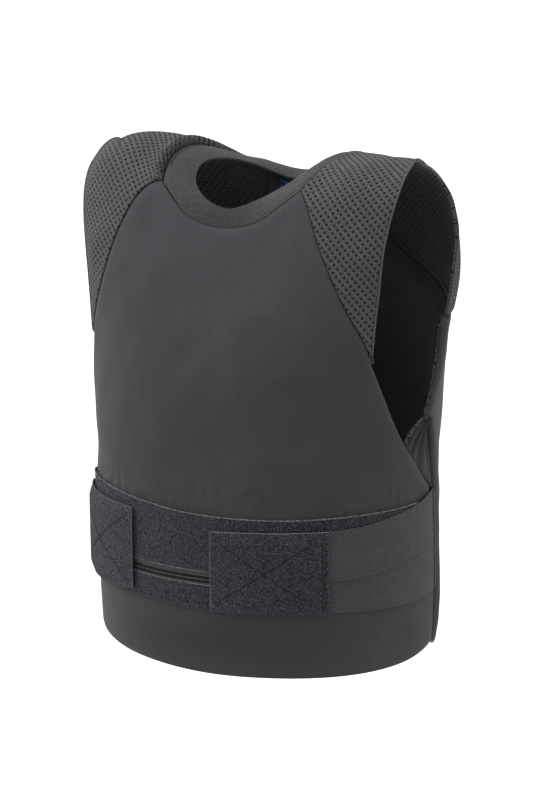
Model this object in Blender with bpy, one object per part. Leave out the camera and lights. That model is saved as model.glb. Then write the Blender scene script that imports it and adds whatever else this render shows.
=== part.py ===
"""A covert stab vest as it is worn: padded front and back panels, mesh shoulders, a rib collar,
side wings, and elastic straps that close on loop tape across the belly.

The body's form is a stack of level rings. Every piece is cut like a flat pattern on that form:
"across" is measured round the body from the centre line, and "run" down from the shoulder line,
positive in front and negative behind. Left is the wearer's left, at +X. The front faces -Y.
"""

import bmesh
import bpy
import numpy as np

CLEARANCE = 0.0005  # between neighbouring pieces
PAD = 0.010  # a padded panel
PAD_EDGE = 0.0045  # the same panel at its sewn edge
PAD_SLOPE = 0.022  # how far in from the edge the padding reaches its full thickness
EDGE_ROLL = 0.0010  # how far the outer face falls away at the edge
EDGE_ROLL_WIDTH = 0.008
MESH = 0.0040  # spacer mesh
RIB = 0.0030  # doubled rib knit
RIB_SINK = 0.0008  # of the rib's outer face below the form
RIB_BEND = 0.36  # how far in the rib follows the form before it turns up
COLLAR_GAP = 0.0009  # from the collar seam's line to the rib
WING = 0.0025
WING_GAP = 0.0020  # between a wing and the front panel over it
WING_SEWN_GAP = 0.0016  # and the back panel's edge that it is sewn behind
LINING = 0.0018
LABEL = 0.0008
LABEL_GAP = 0.0009
LOOP_TAPE = 0.0013
TAPE_STAND = 0.0008  # of the tape off the cover cloth
ELASTIC = 0.0014
TAB = 0.0022

MESH_TIP = 0.035  # share of a raglan seam that the mesh leaves free at its tips
OUTER_TIP = 0.025  # and share of its armhole edge
BESIDE_FRONT = 0.72  # share of the armhole edge in front that lies opposite the raglan
BESIDE_BACK = 0.30  # share of it behind that lies above the raglan
LINING_GAP = 0.0027  # the sheet hangs a little off the padding
LINING_INSET = 0.006  # from an open edge of the back panel
LINING_LEAD = 0.005  # how much sooner than the padding it reaches its full depth
WING_LAP = 0.014  # of a wing behind the back panel
WING_REACH = 0.100  # of a wing in under the front panel
WING_TOP = 0.349  # its run at the back edge
WING_BOTTOM = 0.520
WING_SLANT = 0.45  # how steeply its top edge drops towards the front
BELT_RUN = 0.47  # of the straps' middle at the side seam
BAND_WIDTH = 0.055  # of one elastic band
TAB_LAP = 0.014  # of an elastic under its tab
SLANT_REACH = 0.050  # how far from the side seam an elastic takes up the seam's slant

# The wearer's right shoulder lies a little higher, round one place beside the neck
SHOULDER_LIFT = 0.008
LIFT_PLACE = -0.145
LIFT_WIDTH = 0.035
LIFT_DEPTH = 0.050

# With nobody inside, both straps sag at their outer edge behind the shoulder line
SAG = 0.009
SAG_ACROSS = (0.120, 0.190)  # where it starts and is whole
SAG_ALONG = (-0.020, 0.030)
SAG_DEPTH = 0.060

# The form, a row for each level ring from below the hem to the shoulder line
LEVEL_COLUMNS = ("height", "front", "back", "half_width", "squareness")
LEVELS = np.array([
    (-0.585, 0.150, 0.122, 0.188, 2.20),
    (-0.480, 0.156, 0.125, 0.194, 2.20),
    (-0.380, 0.157, 0.125, 0.195, 2.25),
    (-0.290, 0.153, 0.123, 0.198, 2.30),
    (-0.210, 0.143, 0.120, 0.203, 2.40),
    (-0.140, 0.126, 0.114, 0.208, 2.80),
    (-0.080, 0.106, 0.100, 0.213, 3.40),
    (-0.036, 0.087, 0.078, 0.214, 3.70),
    (-0.010, 0.052, 0.046, 0.213, 3.80),
    (0.000, 0.000, 0.000, 0.212, 3.80),
])
TOP = len(LEVELS) - 1

# Seams and edges in the pattern: across, run
# Collar seam, for one side: front centre, over the shoulder, back centre
NECKLINE_FRONT = ((0.000, 0.141), (0.022, 0.1385), (0.044, 0.131), (0.062, 0.117), (0.077, 0.103), (0.086, 0.093))
NECKLINE_SIDE = ((0.086, 0.093), (0.094, 0.064), (0.098, 0.030), (0.097, 0.000), (0.091, -0.030), (0.074, -0.060),
                 (0.048, -0.080))
NECKLINE_BACK = ((0.048, -0.080), (0.024, -0.088), (0.000, -0.090))

# Raglan seams from the collar to the armhole; the two front ones lie a little differently
RAGLAN_LEFT = ((0.086, 0.093), (0.101, 0.118), (0.117, 0.152), (0.134, 0.184), (0.153, 0.219), (0.170, 0.246),
               (0.183, 0.268), (0.1885, 0.284))
RAGLAN_RIGHT = ((0.086, 0.093), (0.099, 0.098), (0.116, 0.119), (0.132, 0.152), (0.144, 0.185), (0.159, 0.221),
                (0.178, 0.258), (0.1885, 0.284))
RAGLAN_BACK = ((0.048, -0.080), (0.051, -0.106), (0.069, -0.138), (0.108, -0.170), (0.160, -0.199), (0.208, -0.220),
               (0.2535, -0.236))

# Armhole edge of the mesh, front to back, and of the padded panels below it
ARMHOLE_FRONT_LEFT = ((0.1885, 0.284), (0.188, 0.243), (0.189, 0.205), (0.189, 0.163), (0.191, 0.134),
                      (0.194, 0.109), (0.195, 0.083), (0.192, 0.049), (0.184, 0.000))
ARMHOLE_FRONT_RIGHT = ((0.1885, 0.284), (0.190, 0.243), (0.194, 0.205), (0.199, 0.163), (0.206, 0.134),
                       (0.211, 0.109), (0.211, 0.083), (0.203, 0.049), (0.188, 0.000))
ARMHOLE_BACK = ((0.184, 0.000), (0.181, -0.036), (0.187, -0.078), (0.207, -0.112), (0.233, -0.150), (0.249, -0.192),
                (0.2535, -0.236))
DIAGONAL = ((0.289, 0.427), (0.276, 0.416), (0.259, 0.398), (0.238, 0.374), (0.220, 0.346), (0.205, 0.317),
            (0.193, 0.293), (0.1885, 0.284))

# Side seam, seen from the front; the back panel's edge follows it and the front panel's stops short
SIDE_SEAM = np.array([
    (0.306, 0.600), (0.308, 0.578), (0.307, 0.553), (0.306, 0.495), (0.295, 0.436), (0.283, 0.391), (0.273, 0.347),
])
FRONT_SIDE = ((0.302, 0.598), (0.304, 0.578), (0.303, 0.553), (0.302, 0.495), (0.296, 0.455), (0.289, 0.427))
BACK_SCYE = ((0.279, -0.336), (0.266, -0.311), (0.257, -0.278), (0.2535, -0.236))

HEM_FRONT = ((-0.302, 0.590), (-0.240, 0.600), (-0.168, 0.608), (-0.091, 0.618), (0.000, 0.6245), (0.092, 0.6235),
             (0.179, 0.619), (0.250, 0.611), (0.302, 0.598))
HEM_BACK = ((0.205, -0.597), (0.180, -0.603), (0.110, -0.610), (0.050, -0.6135), (0.000, -0.614))

# Inner edge of the rib collar: x, y, z every 30 degrees from the front centre towards the wearer's left
COLLAR_EDGE = (
    (0.000, -0.086, -0.056), (0.031, -0.078, -0.044), (0.055, -0.055, -0.027), (0.066, -0.022, -0.013),
    (0.060, 0.012, -0.011), (0.036, 0.034, -0.020), (0.000, 0.040, -0.027), (-0.038, 0.034, -0.023),
    (-0.063, 0.012, -0.016), (-0.071, -0.022, -0.019), (-0.060, -0.055, -0.035), (-0.033, -0.078, -0.050),
)

# Loop tape: its upper and lower edges by how far across
BELT_COLUMNS = ("across", "upper_top", "upper_bottom", "lower_top", "lower_bottom")
BELT = np.array([
    (-0.262, 0.428, 0.500, 0.515, 0.538),
    (-0.200, 0.427, 0.501, 0.516, 0.542),
    (-0.156, 0.435, 0.503, 0.518, 0.544),
    (-0.110, 0.439, 0.506, 0.521, 0.546),
    (-0.067, 0.444, 0.509, 0.524, 0.549),
    (0.000, 0.450, 0.511, 0.526, 0.553),
    (0.090, 0.450, 0.511, 0.526, 0.551),
    (0.165, 0.446, 0.508, 0.523, 0.548),
    (0.262, 0.441, 0.503, 0.518, 0.545),
])

# A side strap: top edge of the upper band and bottom edge of the lower one
STRAP_COLUMNS = ("across", "top", "bottom")
STRAP = np.array([
    (0.120, 0.461, 0.549),
    (0.147, 0.460, 0.549),
    (0.181, 0.457, 0.5495),
    (0.217, 0.450, 0.549),
    (0.262, 0.441, 0.548),
    (0.300, 0.431, 0.543),
    (0.310, 0.429, 0.541),
])

# A tab: free end, sewn end, its edges, and how high its inner face stands at each end
TABS = {
    "left": {"free": 0.019, "sewn": 0.147, "top": (0.466, 0.460), "bottom": (0.553, 0.550), "stand": (0.0027, 0.0066)},
    "right": {"free": 0.083, "sewn": 0.216, "top": (0.452, 0.449), "bottom": (0.543, 0.546), "stand": (0.0052, 0.0070)},
}

# How high an elastic's inner face stands: distance from the back panel's edge, stand
ELASTIC_STAND = np.array([
    (0.0008, -0.0028), (0.0030, -0.0004), (0.0060, 0.0010), (0.0120, 0.0014), (0.0200, 0.0020), (0.0320, 0.0027),
    (0.3000, 0.0027),
])
BAND_RISE = 0.0018  # the upper band climbs over the lower one
BAND_SETTLE = 0.0004  # the straps of the wearer's right lie a little higher

FOLDS = 3  # gathers of a wing, fanning out from its top corner over a quarter turn
FOLD_DEPTH = 0.0035
FOLD_START = 0.020
FOLD_REACH = 0.090

LABEL_SIZE = (0.042, 0.026)
LABEL_TOP = -0.046  # height of its upper edge

CHARCOAL = (0.068, 0.066, 0.075)
MESH_GREY = (0.088, 0.088, 0.094)
LINING_GREY = (0.040, 0.040, 0.044)
RIB_GREY = (0.105, 0.094, 0.100)
TAPE_GREY = (0.048, 0.048, 0.060)
ELASTIC_GREY = (0.056, 0.056, 0.060)
LABEL_BLUE = (0.010, 0.045, 0.420)


def clear_scene():
    for old in list(bpy.data.objects):
        bpy.data.objects.remove(old, do_unlink=True)


def smooth(value):
    value = np.clip(value, 0, 1)
    return value * value * (3 - 2 * value)


def between(value, ends):
    """0 before the first end, 1 after the second, and smooth on the way."""
    return smooth((value - ends[0]) / (ends[1] - ends[0]))


def catmull_rom(rows, position, loop=False):
    """Smooth curve through the rows, where position counts rows from the first."""
    rows = np.asarray(rows, float)
    if loop:
        padded = np.vstack([rows[-1:], rows, rows[:2]])
        last = len(rows)
    else:
        padded = np.vstack([2 * rows[0] - rows[1], rows, 2 * rows[-1] - rows[-2]])
        last = len(rows) - 1
    position = np.clip(np.asarray(position, float), 0, last)
    start = np.minimum(position.astype(int), last - 1)
    f = (position - start)[..., None]
    a, b, c, d = (padded[start + k] for k in range(4))
    return 0.5 * (2 * b + (c - a) * f + (2 * a - 5 * b + 4 * c - d) * f**2 + (3 * b - a - 3 * c + d) * f**3)


def along(rows, fractions, loop=False):
    """Points at the given fractions of the length of the smooth curve through the rows."""
    dense = np.linspace(0, len(rows) if loop else len(rows) - 1, 40 * len(rows))
    points = catmull_rom(rows, dense, loop)
    length = np.r_[0, np.cumsum(np.linalg.norm(np.diff(points, axis=0), axis=1))]
    return catmull_rom(rows, np.interp(np.asarray(fractions) * length[-1], length, dense), loop)


def level(step):
    """Height, depths, half width and squareness of the form at a step counted in rows of LEVELS."""
    beyond = LEVELS[-2] * np.array([1, -1, -1, 1, 1])  # carries the curve on over the shoulder line
    rows = np.vstack([LEVELS, beyond])
    values = catmull_rom(rows, np.clip(step, 0, TOP))
    return dict(zip(LEVEL_COLUMNS, np.moveaxis(values, -1, 0)))


def ring_point(step, angle):
    """A point of the form: angle 0 is the front centre line, and pi the back one."""
    row = level(step)
    side, ahead = np.sin(angle), np.cos(angle)
    reach = (np.abs(side) ** row["squareness"] + np.abs(ahead) ** row["squareness"]) ** (1 / row["squareness"])
    depth = np.where(ahead > 0, row["front"], row["back"])
    x = row["half_width"] * side / reach
    y = -depth * ahead / reach
    lift = np.exp(-((row["height"] / LIFT_DEPTH) ** 2) - ((x - LIFT_PLACE) / LIFT_WIDTH) ** 2)
    sag = np.exp(-((row["height"] / SAG_DEPTH) ** 2)) * between(np.abs(x), SAG_ACROSS) * between(y, SAG_ALONG)
    return np.stack([x, y, row["height"] + SHOULDER_LIFT * lift - SAG * sag], -1)


LINE_STEPS = np.linspace(0, TOP, 3000)


def centre_line(angle):
    """Length down from the shoulder line at each of LINE_STEPS."""
    points = ring_point(LINE_STEPS, np.full(LINE_STEPS.shape, angle))
    length = np.r_[0, np.cumsum(np.linalg.norm(np.diff(points, axis=0), axis=1))]
    return length[-1] - length


RUN_FRONT = centre_line(0.0)
RUN_BACK = centre_line(np.pi)
ANGLES = np.linspace(0, np.pi, 721)


def on_form(across, run):
    """The form's point for a place in the pattern."""
    across, run = np.broadcast_arrays(np.asarray(across, float), np.asarray(run, float))
    shape = across.shape
    across, run = across.ravel(), run.ravel()
    front = run >= 0
    step = np.where(
        front,
        np.interp(-run, -RUN_FRONT, LINE_STEPS),
        np.interp(run, -RUN_BACK, LINE_STEPS),
    )
    rings = ring_point(step[:, None], ANGLES[None, :])
    lengths = np.cumsum(np.linalg.norm(np.diff(rings, axis=1), axis=2), axis=1)
    lengths = np.concatenate([np.zeros((len(step), 1)), lengths], axis=1)
    angle = np.empty(len(step))
    for i, (target, lap) in enumerate(zip(np.abs(across), lengths)):
        angle[i] = np.interp(target if front[i] else lap[-1] - target, lap, ANGLES)
    return ring_point(step, np.copysign(angle, across)).reshape(shape + (3,))


def seam_across(run):
    """How far round from the front centre line the side seam lies."""
    return np.interp(run, SIDE_SEAM[::-1, 1], SIDE_SEAM[::-1, 0])


def seen_from_behind(rows):
    """Front pattern places turned into the back's, where across starts from the back centre line."""
    across, run = np.asarray(rows).T
    step = np.interp(-run, -RUN_FRONT, LINE_STEPS)
    rings = ring_point(step[:, None], ANGLES[None, :])
    half_girth = np.linalg.norm(np.diff(rings, axis=1), axis=2).sum(axis=1)
    return np.stack([half_girth - across, -np.interp(step, LINE_STEPS, RUN_BACK)], -1)


def normal_on_form(across, run, reach=0.002):
    """Outward normal, from the points a little to each side."""
    sideways = on_form(across + reach, run) - on_form(across - reach, run)
    down = on_form(across, run + reach) - on_form(across, run - reach)
    # Behind, across grows the other way round the body only in angle, so x still grows with it.
    normal = np.cross(down, sideways)
    return normal / np.linalg.norm(normal, axis=-1, keepdims=True)


def raised(pattern, offset):
    """Points of a pattern grid, lifted off the form by offset."""
    across, run = pattern[..., 0], pattern[..., 1]
    return on_form(across, run) + normal_on_form(across, run) * np.asarray(offset)[..., None]


def crowded(count, edge):
    """Fractions from 0 to 1 that stand closer together within edge of both ends."""
    near = edge * np.array([0, 0.2, 0.55, 1.0])
    return np.r_[near, np.linspace(edge, 1 - edge, count - 6)[1:-1], 1 - near[::-1]]


def pulled_in(pattern, width):
    """The grid with its rim moved in by width, so that neighbours keep a gap."""
    grid = pattern.copy()
    for rim, inner in ((0, 1), (-1, -2)):
        move = pattern[inner] - pattern[rim]
        grid[rim] += move * (width / np.linalg.norm(move, axis=-1, keepdims=True))
        move = pattern[:, inner] - pattern[:, rim]
        grid[:, rim] += move * (width / np.linalg.norm(move, axis=-1, keepdims=True))
    return grid


def patch(bottom, top, left, right, rise):
    """Coons patch: rows run from bottom to top, columns from left to right."""
    u = np.r_[0, np.cumsum(np.linalg.norm(np.diff(bottom, axis=0), axis=1))]
    u = (u / u[-1])[None, :, None]
    v = rise[:, None, None]
    ruled_up = (1 - v) * bottom[None] + v * top[None]
    ruled_across = (1 - u) * left[:, None] + u * right[:, None]
    corners = (1 - v) * ((1 - u) * bottom[0] + u * bottom[-1]) + v * ((1 - u) * top[0] + u * top[-1])
    return ruled_up + ruled_across - corners


def distance_to(pattern, outline):
    """Distance in the pattern from each point of a grid to a closed outline."""
    start, end = outline, np.roll(outline, -1, axis=0)
    points = pattern.reshape(-1, 1, 2)
    span = end - start
    share = ((points - start) * span).sum(-1) / np.maximum((span**2).sum(-1), 1e-12)
    nearest = start + np.clip(share, 0, 1)[..., None] * span
    return np.linalg.norm(points - nearest, axis=-1).min(axis=1).reshape(pattern.shape[:2])


def rim_of(pattern):
    return np.vstack([pattern[0], pattern[1:, -1], pattern[-1, -2::-1], pattern[-2:0:-1, 0]])


def pad_faces(distance):
    """Offsets of the outer and the inner face of a padded panel, by the distance from its edge."""
    outer = -EDGE_ROLL * (1 - smooth(distance / EDGE_ROLL_WIDTH))
    inner = -(PAD_EDGE + (PAD - PAD_EDGE) * smooth(distance / PAD_SLOPE))
    return outer, inner


def material(name, colour, roughness):
    made = bpy.data.materials.get(name) or bpy.data.materials.new(name)
    made.use_nodes = True
    shader = made.node_tree.nodes["Principled BSDF"]
    shader.inputs["Base Color"].default_value = (*colour, 1)
    shader.inputs["Roughness"].default_value = roughness
    shader.inputs["Metallic"].default_value = 0
    return made


def add_solid(name, outer, inner, finish, loop=False):
    """One closed body between two grids of points; with loop, each row closes on itself."""
    rows, columns = outer.shape[:2]
    shape = bmesh.new()
    skins = []
    for points in (outer, inner):
        skins.append([[shape.verts.new(p) for p in row] for row in points])
    spans = range(columns if loop else columns - 1)
    for skin in skins:
        for i in range(rows - 1):
            for j in spans:
                k = (j + 1) % columns
                shape.faces.new((skin[i][j], skin[i][k], skin[i + 1][k], skin[i + 1][j]))
    rims = [[(i, j) for j in range(columns)] for i in (0, rows - 1)]
    if not loop:
        rims += [[(i, j) for i in range(rows)] for j in (0, columns - 1)]
    for rim in rims:
        for (i, j), (m, n) in zip(rim, rim[1:] + (rim[:1] if loop else [])):
            shape.faces.new((skins[0][i][j], skins[0][m][n], skins[1][m][n], skins[1][i][j]))
    bmesh.ops.recalc_face_normals(shape, faces=shape.faces)
    mesh = bpy.data.meshes.new(name)
    shape.to_mesh(mesh)
    shape.free()
    mesh.shade_smooth()
    mesh.set_sharp_from_angle(angle=np.radians(40))
    mesh.materials.append(finish)
    made = bpy.data.objects.new(name, mesh)
    bpy.context.scene.collection.objects.link(made)
    return made


def mirrored(rows):
    """The same outline on the wearer's right."""
    return np.asarray(rows) * np.array([-1, 1])


def padded_panel(name, pattern):
    pattern = pulled_in(pattern, CLEARANCE)
    outer, inner = pad_faces(distance_to(pattern, rim_of(pattern)))
    cloth = material("cover_cloth", CHARCOAL, 0.85)
    return add_solid(name, raised(pattern, outer), raised(pattern, inner), cloth)


SIDE_CELLS = 9  # up the side seam
DIAGONAL_CELLS = 6
RAGLAN_CELLS = 8
NECK_CELLS = 12  # beside the collar, on each shoulder


def front_panel():
    up_side = np.r_[0, 0.04, 0.12, np.linspace(0.25, 1, SIDE_CELLS - 2)]
    columns = crowded(26, 0.045)
    raglan_steps = np.linspace(1, 0, RAGLAN_CELLS + 1)

    def edge(raglan, hem_corner):
        side = np.array(FRONT_SIDE)
        side[0] = hem_corner
        return np.vstack([
            along(side, up_side)[:-1],
            along(DIAGONAL, np.linspace(0, 1, DIAGONAL_CELLS + 1))[:-1],
            along(raglan, raglan_steps),
        ])

    left = mirrored(edge(RAGLAN_RIGHT, (-HEM_FRONT[0][0], HEM_FRONT[0][1])))
    right = edge(RAGLAN_LEFT, HEM_FRONT[-1])
    neck = np.vstack([mirrored(NECKLINE_FRONT)[:0:-1], NECKLINE_FRONT])
    height = (left[:, 1] + right[:, 1]) / 2
    rise = (height[0] - height) / (height[0] - height[-1])
    return padded_panel("front_panel", patch(along(HEM_FRONT, columns), along(neck, columns), left, right, rise))


def back_outline():
    """Side seam from the hem up, and the hem from side to side."""
    side = seen_from_behind(SIDE_SEAM)
    half_hem = np.vstack([side[:1], HEM_BACK])
    return side, np.vstack([mirrored(half_hem)[:-1], half_hem[::-1]])


def back_panel():
    side, hem = back_outline()
    columns = crowded(24, 0.05)
    up_side = np.r_[0, 0.05, 0.14, np.linspace(0.28, 1, SIDE_CELLS - 3)]
    edge = np.vstack([
        along(side, up_side)[:-1],
        along(BACK_SCYE, np.linspace(0, 1, 5))[:-1],
        along(RAGLAN_BACK, np.linspace(1, 0, RAGLAN_CELLS + 1)),
    ])
    neck = np.vstack([mirrored(NECKLINE_BACK)[:-1], NECKLINE_BACK[::-1]])
    rise = (edge[:, 1] - edge[0, 1]) / (edge[-1, 1] - edge[0, 1])
    bottom, top = along(hem, columns), along(neck, columns)
    return padded_panel("back_panel", patch(bottom, top, mirrored(edge), edge, rise))


def shoulder_mesh(side, raglan, armhole, sign):
    """One strap of mesh: rows run from the front tip over the shoulder to the back tip."""
    down_raglan = np.linspace(0, 1, RAGLAN_CELLS + 1)
    down_raglan[-1] = 1 - MESH_TIP  # the mesh ends in a short edge, not in a point
    inner = np.vstack([
        along(raglan, down_raglan[::-1])[:-1],
        along(NECKLINE_SIDE, np.linspace(0, 1, NECK_CELLS + 1))[:-1],
        along(RAGLAN_BACK, down_raglan),
    ])
    behind = np.vstack([armhole[-1], ARMHOLE_BACK[1:]])
    up_front = np.linspace(0, BESIDE_FRONT, RAGLAN_CELLS + 1)
    down_back = np.linspace(BESIDE_BACK, 1, RAGLAN_CELLS + 1)
    up_front[0], down_back[-1] = OUTER_TIP, 1 - OUTER_TIP
    outer = np.vstack([
        along(armhole, up_front)[:-1],
        along(armhole, np.linspace(BESIDE_FRONT, 1, NECK_CELLS // 2 + 1))[:-1],
        along(behind, np.linspace(0, BESIDE_BACK, NECK_CELLS // 2 + 1))[:-1],
        along(behind, down_back),
    ])
    share = np.array([0, 0.15, 0.38, 0.62, 0.85, 1])[None, :, None]
    pattern = (1 - share) * inner[:, None] + share * outer[:, None]
    pattern = pulled_in(pattern, CLEARANCE) * np.array([sign, 1])
    face = np.zeros(pattern.shape[:2])
    finish = material("spacer_mesh", MESH_GREY, 0.8)
    return add_solid(f"shoulder_mesh_{side}", raised(pattern, face), raised(pattern, face - MESH), finish)


def neck_rib():
    """Band from the collar seam, where it lies on the form, to the free inner edge."""
    half = np.vstack([NECKLINE_FRONT[:-1], NECKLINE_SIDE[:-1], NECKLINE_BACK])
    seam_rows = np.vstack([half, mirrored(half)[-2:0:-1]])
    around = np.linspace(0, 1, 48, endpoint=False)
    seam = along(seam_rows, around, loop=True)
    # Behind the shoulder line a step in run changes sign with the side, so the inset is taken in space.
    seam_points = on_form(seam[:, 0], seam[:, 1])
    seam_normal = normal_on_form(seam[:, 0], seam[:, 1])
    edge_points = along(COLLAR_EDGE, around, loop=True)
    inward = edge_points - seam_points
    flat = inward - (inward * seam_normal).sum(-1, keepdims=True) * seam_normal
    flat /= np.linalg.norm(flat, axis=-1, keepdims=True)
    start = seam_points + flat * COLLAR_GAP
    bend = start + flat * RIB_BEND * np.linalg.norm(inward, axis=-1, keepdims=True)
    grid = []
    for t in (0.0, 0.22, 0.5, 0.78, 1.0):
        grid.append((1 - t) ** 2 * start + 2 * t * (1 - t) * bend + t**2 * edge_points)
    grid = np.array(grid)
    inwards = np.gradient(grid, axis=0)
    round_neck = np.roll(grid, -1, axis=1) - np.roll(grid, 1, axis=1)
    normal = np.cross(round_neck, inwards)
    normal /= np.linalg.norm(normal, axis=-1, keepdims=True)
    normal *= np.sign((normal[0] * seam_normal).sum())
    normal[0] = seam_normal
    outer = grid - normal * RIB_SINK
    finish = material("rib_knit", RIB_GREY, 0.9)
    return add_solid("neck_rib", outer, outer - normal * RIB, finish, loop=True)


def back_lining():
    """Mesh sheet inside the back panel, short of the wings and of the open edges."""
    columns = crowded(18, 0.050)
    rows = 1 - np.linspace(1, 0, 13) ** 1.7  # closer together over the shoulder blades
    rows = np.insert(rows, 1, (0.012, 0.030))
    side, hem_rows = back_outline()
    panel_side = np.vstack([side[:-1], BACK_SCYE[:-1], RAGLAN_BACK[::-1]])
    edge = along(panel_side, rows)
    by_wing = smooth((-edge[:, 1] - 0.30) / 0.04)
    edge[:, 0] -= LINING_INSET + (WING_LAP + 0.006) * by_wing
    hem = along(hem_rows, columns)
    neck = along(np.vstack([mirrored(NECKLINE_BACK)[:-1], NECKLINE_BACK[::-1]]), columns)
    hem = hem * (edge[0, 0] / hem[-1, 0], 1) + (0, LINING_INSET)
    neck = neck * (edge[-1, 0] / neck[-1, 0], 1) - (0, LINING_INSET)
    edge[0], edge[-1] = hem[-1], neck[-1]
    rise = (edge[:, 1] - edge[0, 1]) / (edge[-1, 1] - edge[0, 1])
    pattern = patch(hem, neck, mirrored(edge), edge, rise)
    panel = np.vstack([hem_rows, panel_side, mirrored(panel_side)[::-1]])
    face = pad_faces(distance_to(pattern, panel) + LINING_LEAD)[1] - LINING_GAP
    finish = material("lining_mesh", LINING_GREY, 0.9)
    return add_solid("back_lining", raised(pattern, face), raised(pattern, face - LINING), finish)


def side_wing(side, sign):
    """Gusset whose back edge is sewn behind the back panel's edge; its folds fan from the top corner."""
    run = np.linspace(WING_TOP, WING_BOTTOM, 10)
    rows = np.stack([seam_across(run), run], -1)
    top_corner = rows[0]
    reach = np.r_[-WING_LAP, -0.007, 0, 0.007, 0.016, np.linspace(0.028, WING_REACH, 6)]
    pattern = np.stack(np.broadcast_arrays(rows[:, None, 0] - reach, rows[:, None, 1] + 0 * reach), -1)
    slant = WING_SLANT * (WING_BOTTOM - run) / (WING_BOTTOM - WING_TOP)
    pattern[..., 1] += slant[:, None] * np.maximum(reach, 0)
    gap = np.interp(reach, (0, 0.010), (WING_SEWN_GAP, WING_GAP))
    base = np.broadcast_to(pad_faces(np.abs(reach))[1] - gap, pattern.shape[:2])
    from_corner = pattern - top_corner
    radius = np.linalg.norm(from_corner, axis=-1)
    bearing = np.arctan2(from_corner[..., 1], -from_corner[..., 0])
    wave = 0.5 - 0.5 * np.cos(4 * FOLDS * bearing)
    fade = smooth(radius / FOLD_START) * (1 - smooth(radius / FOLD_REACH)) * (reach > 0)
    face = base - FOLD_DEPTH * wave * fade
    pattern = pattern * np.array([sign, 1])
    finish = material("cover_cloth", CHARCOAL, 0.85)
    return add_solid(f"side_wing_{side}", raised(pattern, face), raised(pattern, face - WING), finish)


def tape_strip(name, top, bottom, finish, rows=4):
    """A strip of loop tape over the belly, between two columns of BELT."""
    stations = np.linspace(0, len(BELT) - 1, 37)
    table = dict(zip(BELT_COLUMNS, catmull_rom(BELT, stations).T))
    share = np.linspace(0, 1, rows)[:, None]
    run = (1 - share) * table[bottom] + share * table[top]
    pattern = np.stack(np.broadcast_arrays(table["across"], run), -1)
    face = np.full(run.shape, TAPE_STAND)
    return add_solid(name, raised(pattern, face + LOOP_TAPE), raised(pattern, face), finish)


def elastic_band(name, side, sign, upper):
    """One elastic, from under its tab round the side to the back panel's front edge."""
    tab = TABS[side]
    end = seam_across(BELT_RUN)
    near_seam = end - ELASTIC_STAND[-2::-1, 0]
    across = np.r_[np.linspace(tab["sewn"] - TAB_LAP, near_seam[0], 10)[:-1], near_seam]
    table = dict(zip(STRAP_COLUMNS, catmull_rom(STRAP, np.interp(across, STRAP[:, 0], np.arange(len(STRAP)))).T))
    top = table["top"] if upper else table["bottom"] - BAND_WIDTH
    bottom = table["top"] + BAND_WIDTH if upper else table["bottom"]
    share = np.array([0, 0.2, 0.42, 0.62, 1])[:, None]
    run = (1 - share) * bottom + share * top
    beyond = seam_across(run) - end  # the back panel's edge slants a little
    across = across + beyond * smooth(1 + (across - end) / SLANT_REACH)
    distance = seam_across(run) - across
    stand = np.interp(distance, ELASTIC_STAND[:, 0], ELASTIC_STAND[:, 1])
    if side == "right":
        stand = stand + BAND_SETTLE
    if upper:
        lower_top = table["bottom"] - BAND_WIDTH
        stand = stand + BAND_RISE * smooth((run - lower_top + 0.014) / 0.010) * smooth((distance - 0.008) / 0.012)
    pattern = np.stack([sign * across, run], -1)
    finish = material("elastic", ELASTIC_GREY, 0.8)
    return add_solid(name, raised(pattern, stand + ELASTIC), raised(pattern, stand), finish)


def hook_tab(side, sign):
    """The tab at a strap's end: it lies low on the loop tape and climbs over the elastics."""
    tab = TABS[side]
    share = np.array([0, 0.04, 0.12, 0.24, 0.36, 0.48, 0.6, 0.7, 0.8, 0.88, 0.95, 1])
    across = tab["free"] + (tab["sewn"] - tab["free"]) * share
    height = np.linspace(0, 1, 6)[:, None]
    bottom = tab["bottom"][0] + (tab["bottom"][1] - tab["bottom"][0]) * share
    top = tab["top"][0] + (tab["top"][1] - tab["top"][0]) * share
    run = (1 - height) * bottom + height * top
    low, high = tab["stand"]
    stand = low + (high - low) * smooth(share / 0.8)
    pattern = np.stack(np.broadcast_arrays(sign * across, run), -1)
    stand = np.broadcast_to(stand, run.shape)
    finish = material("hook_tab", TAPE_GREY, 0.95)
    return add_solid(f"hook_tab_{side}", raised(pattern, stand + TAB), raised(pattern, stand), finish)


def neck_label():
    """Small label on the lining, inside the back of the neck."""
    step = np.interp(LABEL_TOP, level(LINE_STEPS)["height"], LINE_STEPS)
    top = -np.interp(step, LINE_STEPS, RUN_BACK)
    across = np.linspace(-0.5, 0.5, 5) * LABEL_SIZE[0]
    run = top - np.array([0, 0.5, 1])[:, None] * LABEL_SIZE[1]
    pattern = np.stack(np.broadcast_arrays(across, run), -1)
    face = np.full(pattern.shape[:2], -(PAD + LINING_GAP + LINING + LABEL_GAP))
    finish = material("label", LABEL_BLUE, 0.6)
    return add_solid("neck_label", raised(pattern, face), raised(pattern, face - LABEL), finish)


def main():
    clear_scene()
    front_panel()
    back_panel()
    shoulder_mesh("left", RAGLAN_LEFT, ARMHOLE_FRONT_LEFT, 1)
    shoulder_mesh("right", RAGLAN_RIGHT, ARMHOLE_FRONT_RIGHT, -1)
    neck_rib()
    back_lining()
    neck_label()
    tape = material("loop_tape", TAPE_GREY, 0.95)
    tape_strip("loop_strip_upper", "upper_top", "upper_bottom", tape)
    tape_strip("loop_strip_lower", "lower_top", "lower_bottom", tape, rows=3)
    for side, sign in (("left", 1), ("right", -1)):
        side_wing(side, sign)
        hook_tab(side, sign)
        elastic_band(f"elastic_upper_{side}", side, sign, upper=True)
        elastic_band(f"elastic_lower_{side}", side, sign, upper=False)


main()
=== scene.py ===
import math

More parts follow.
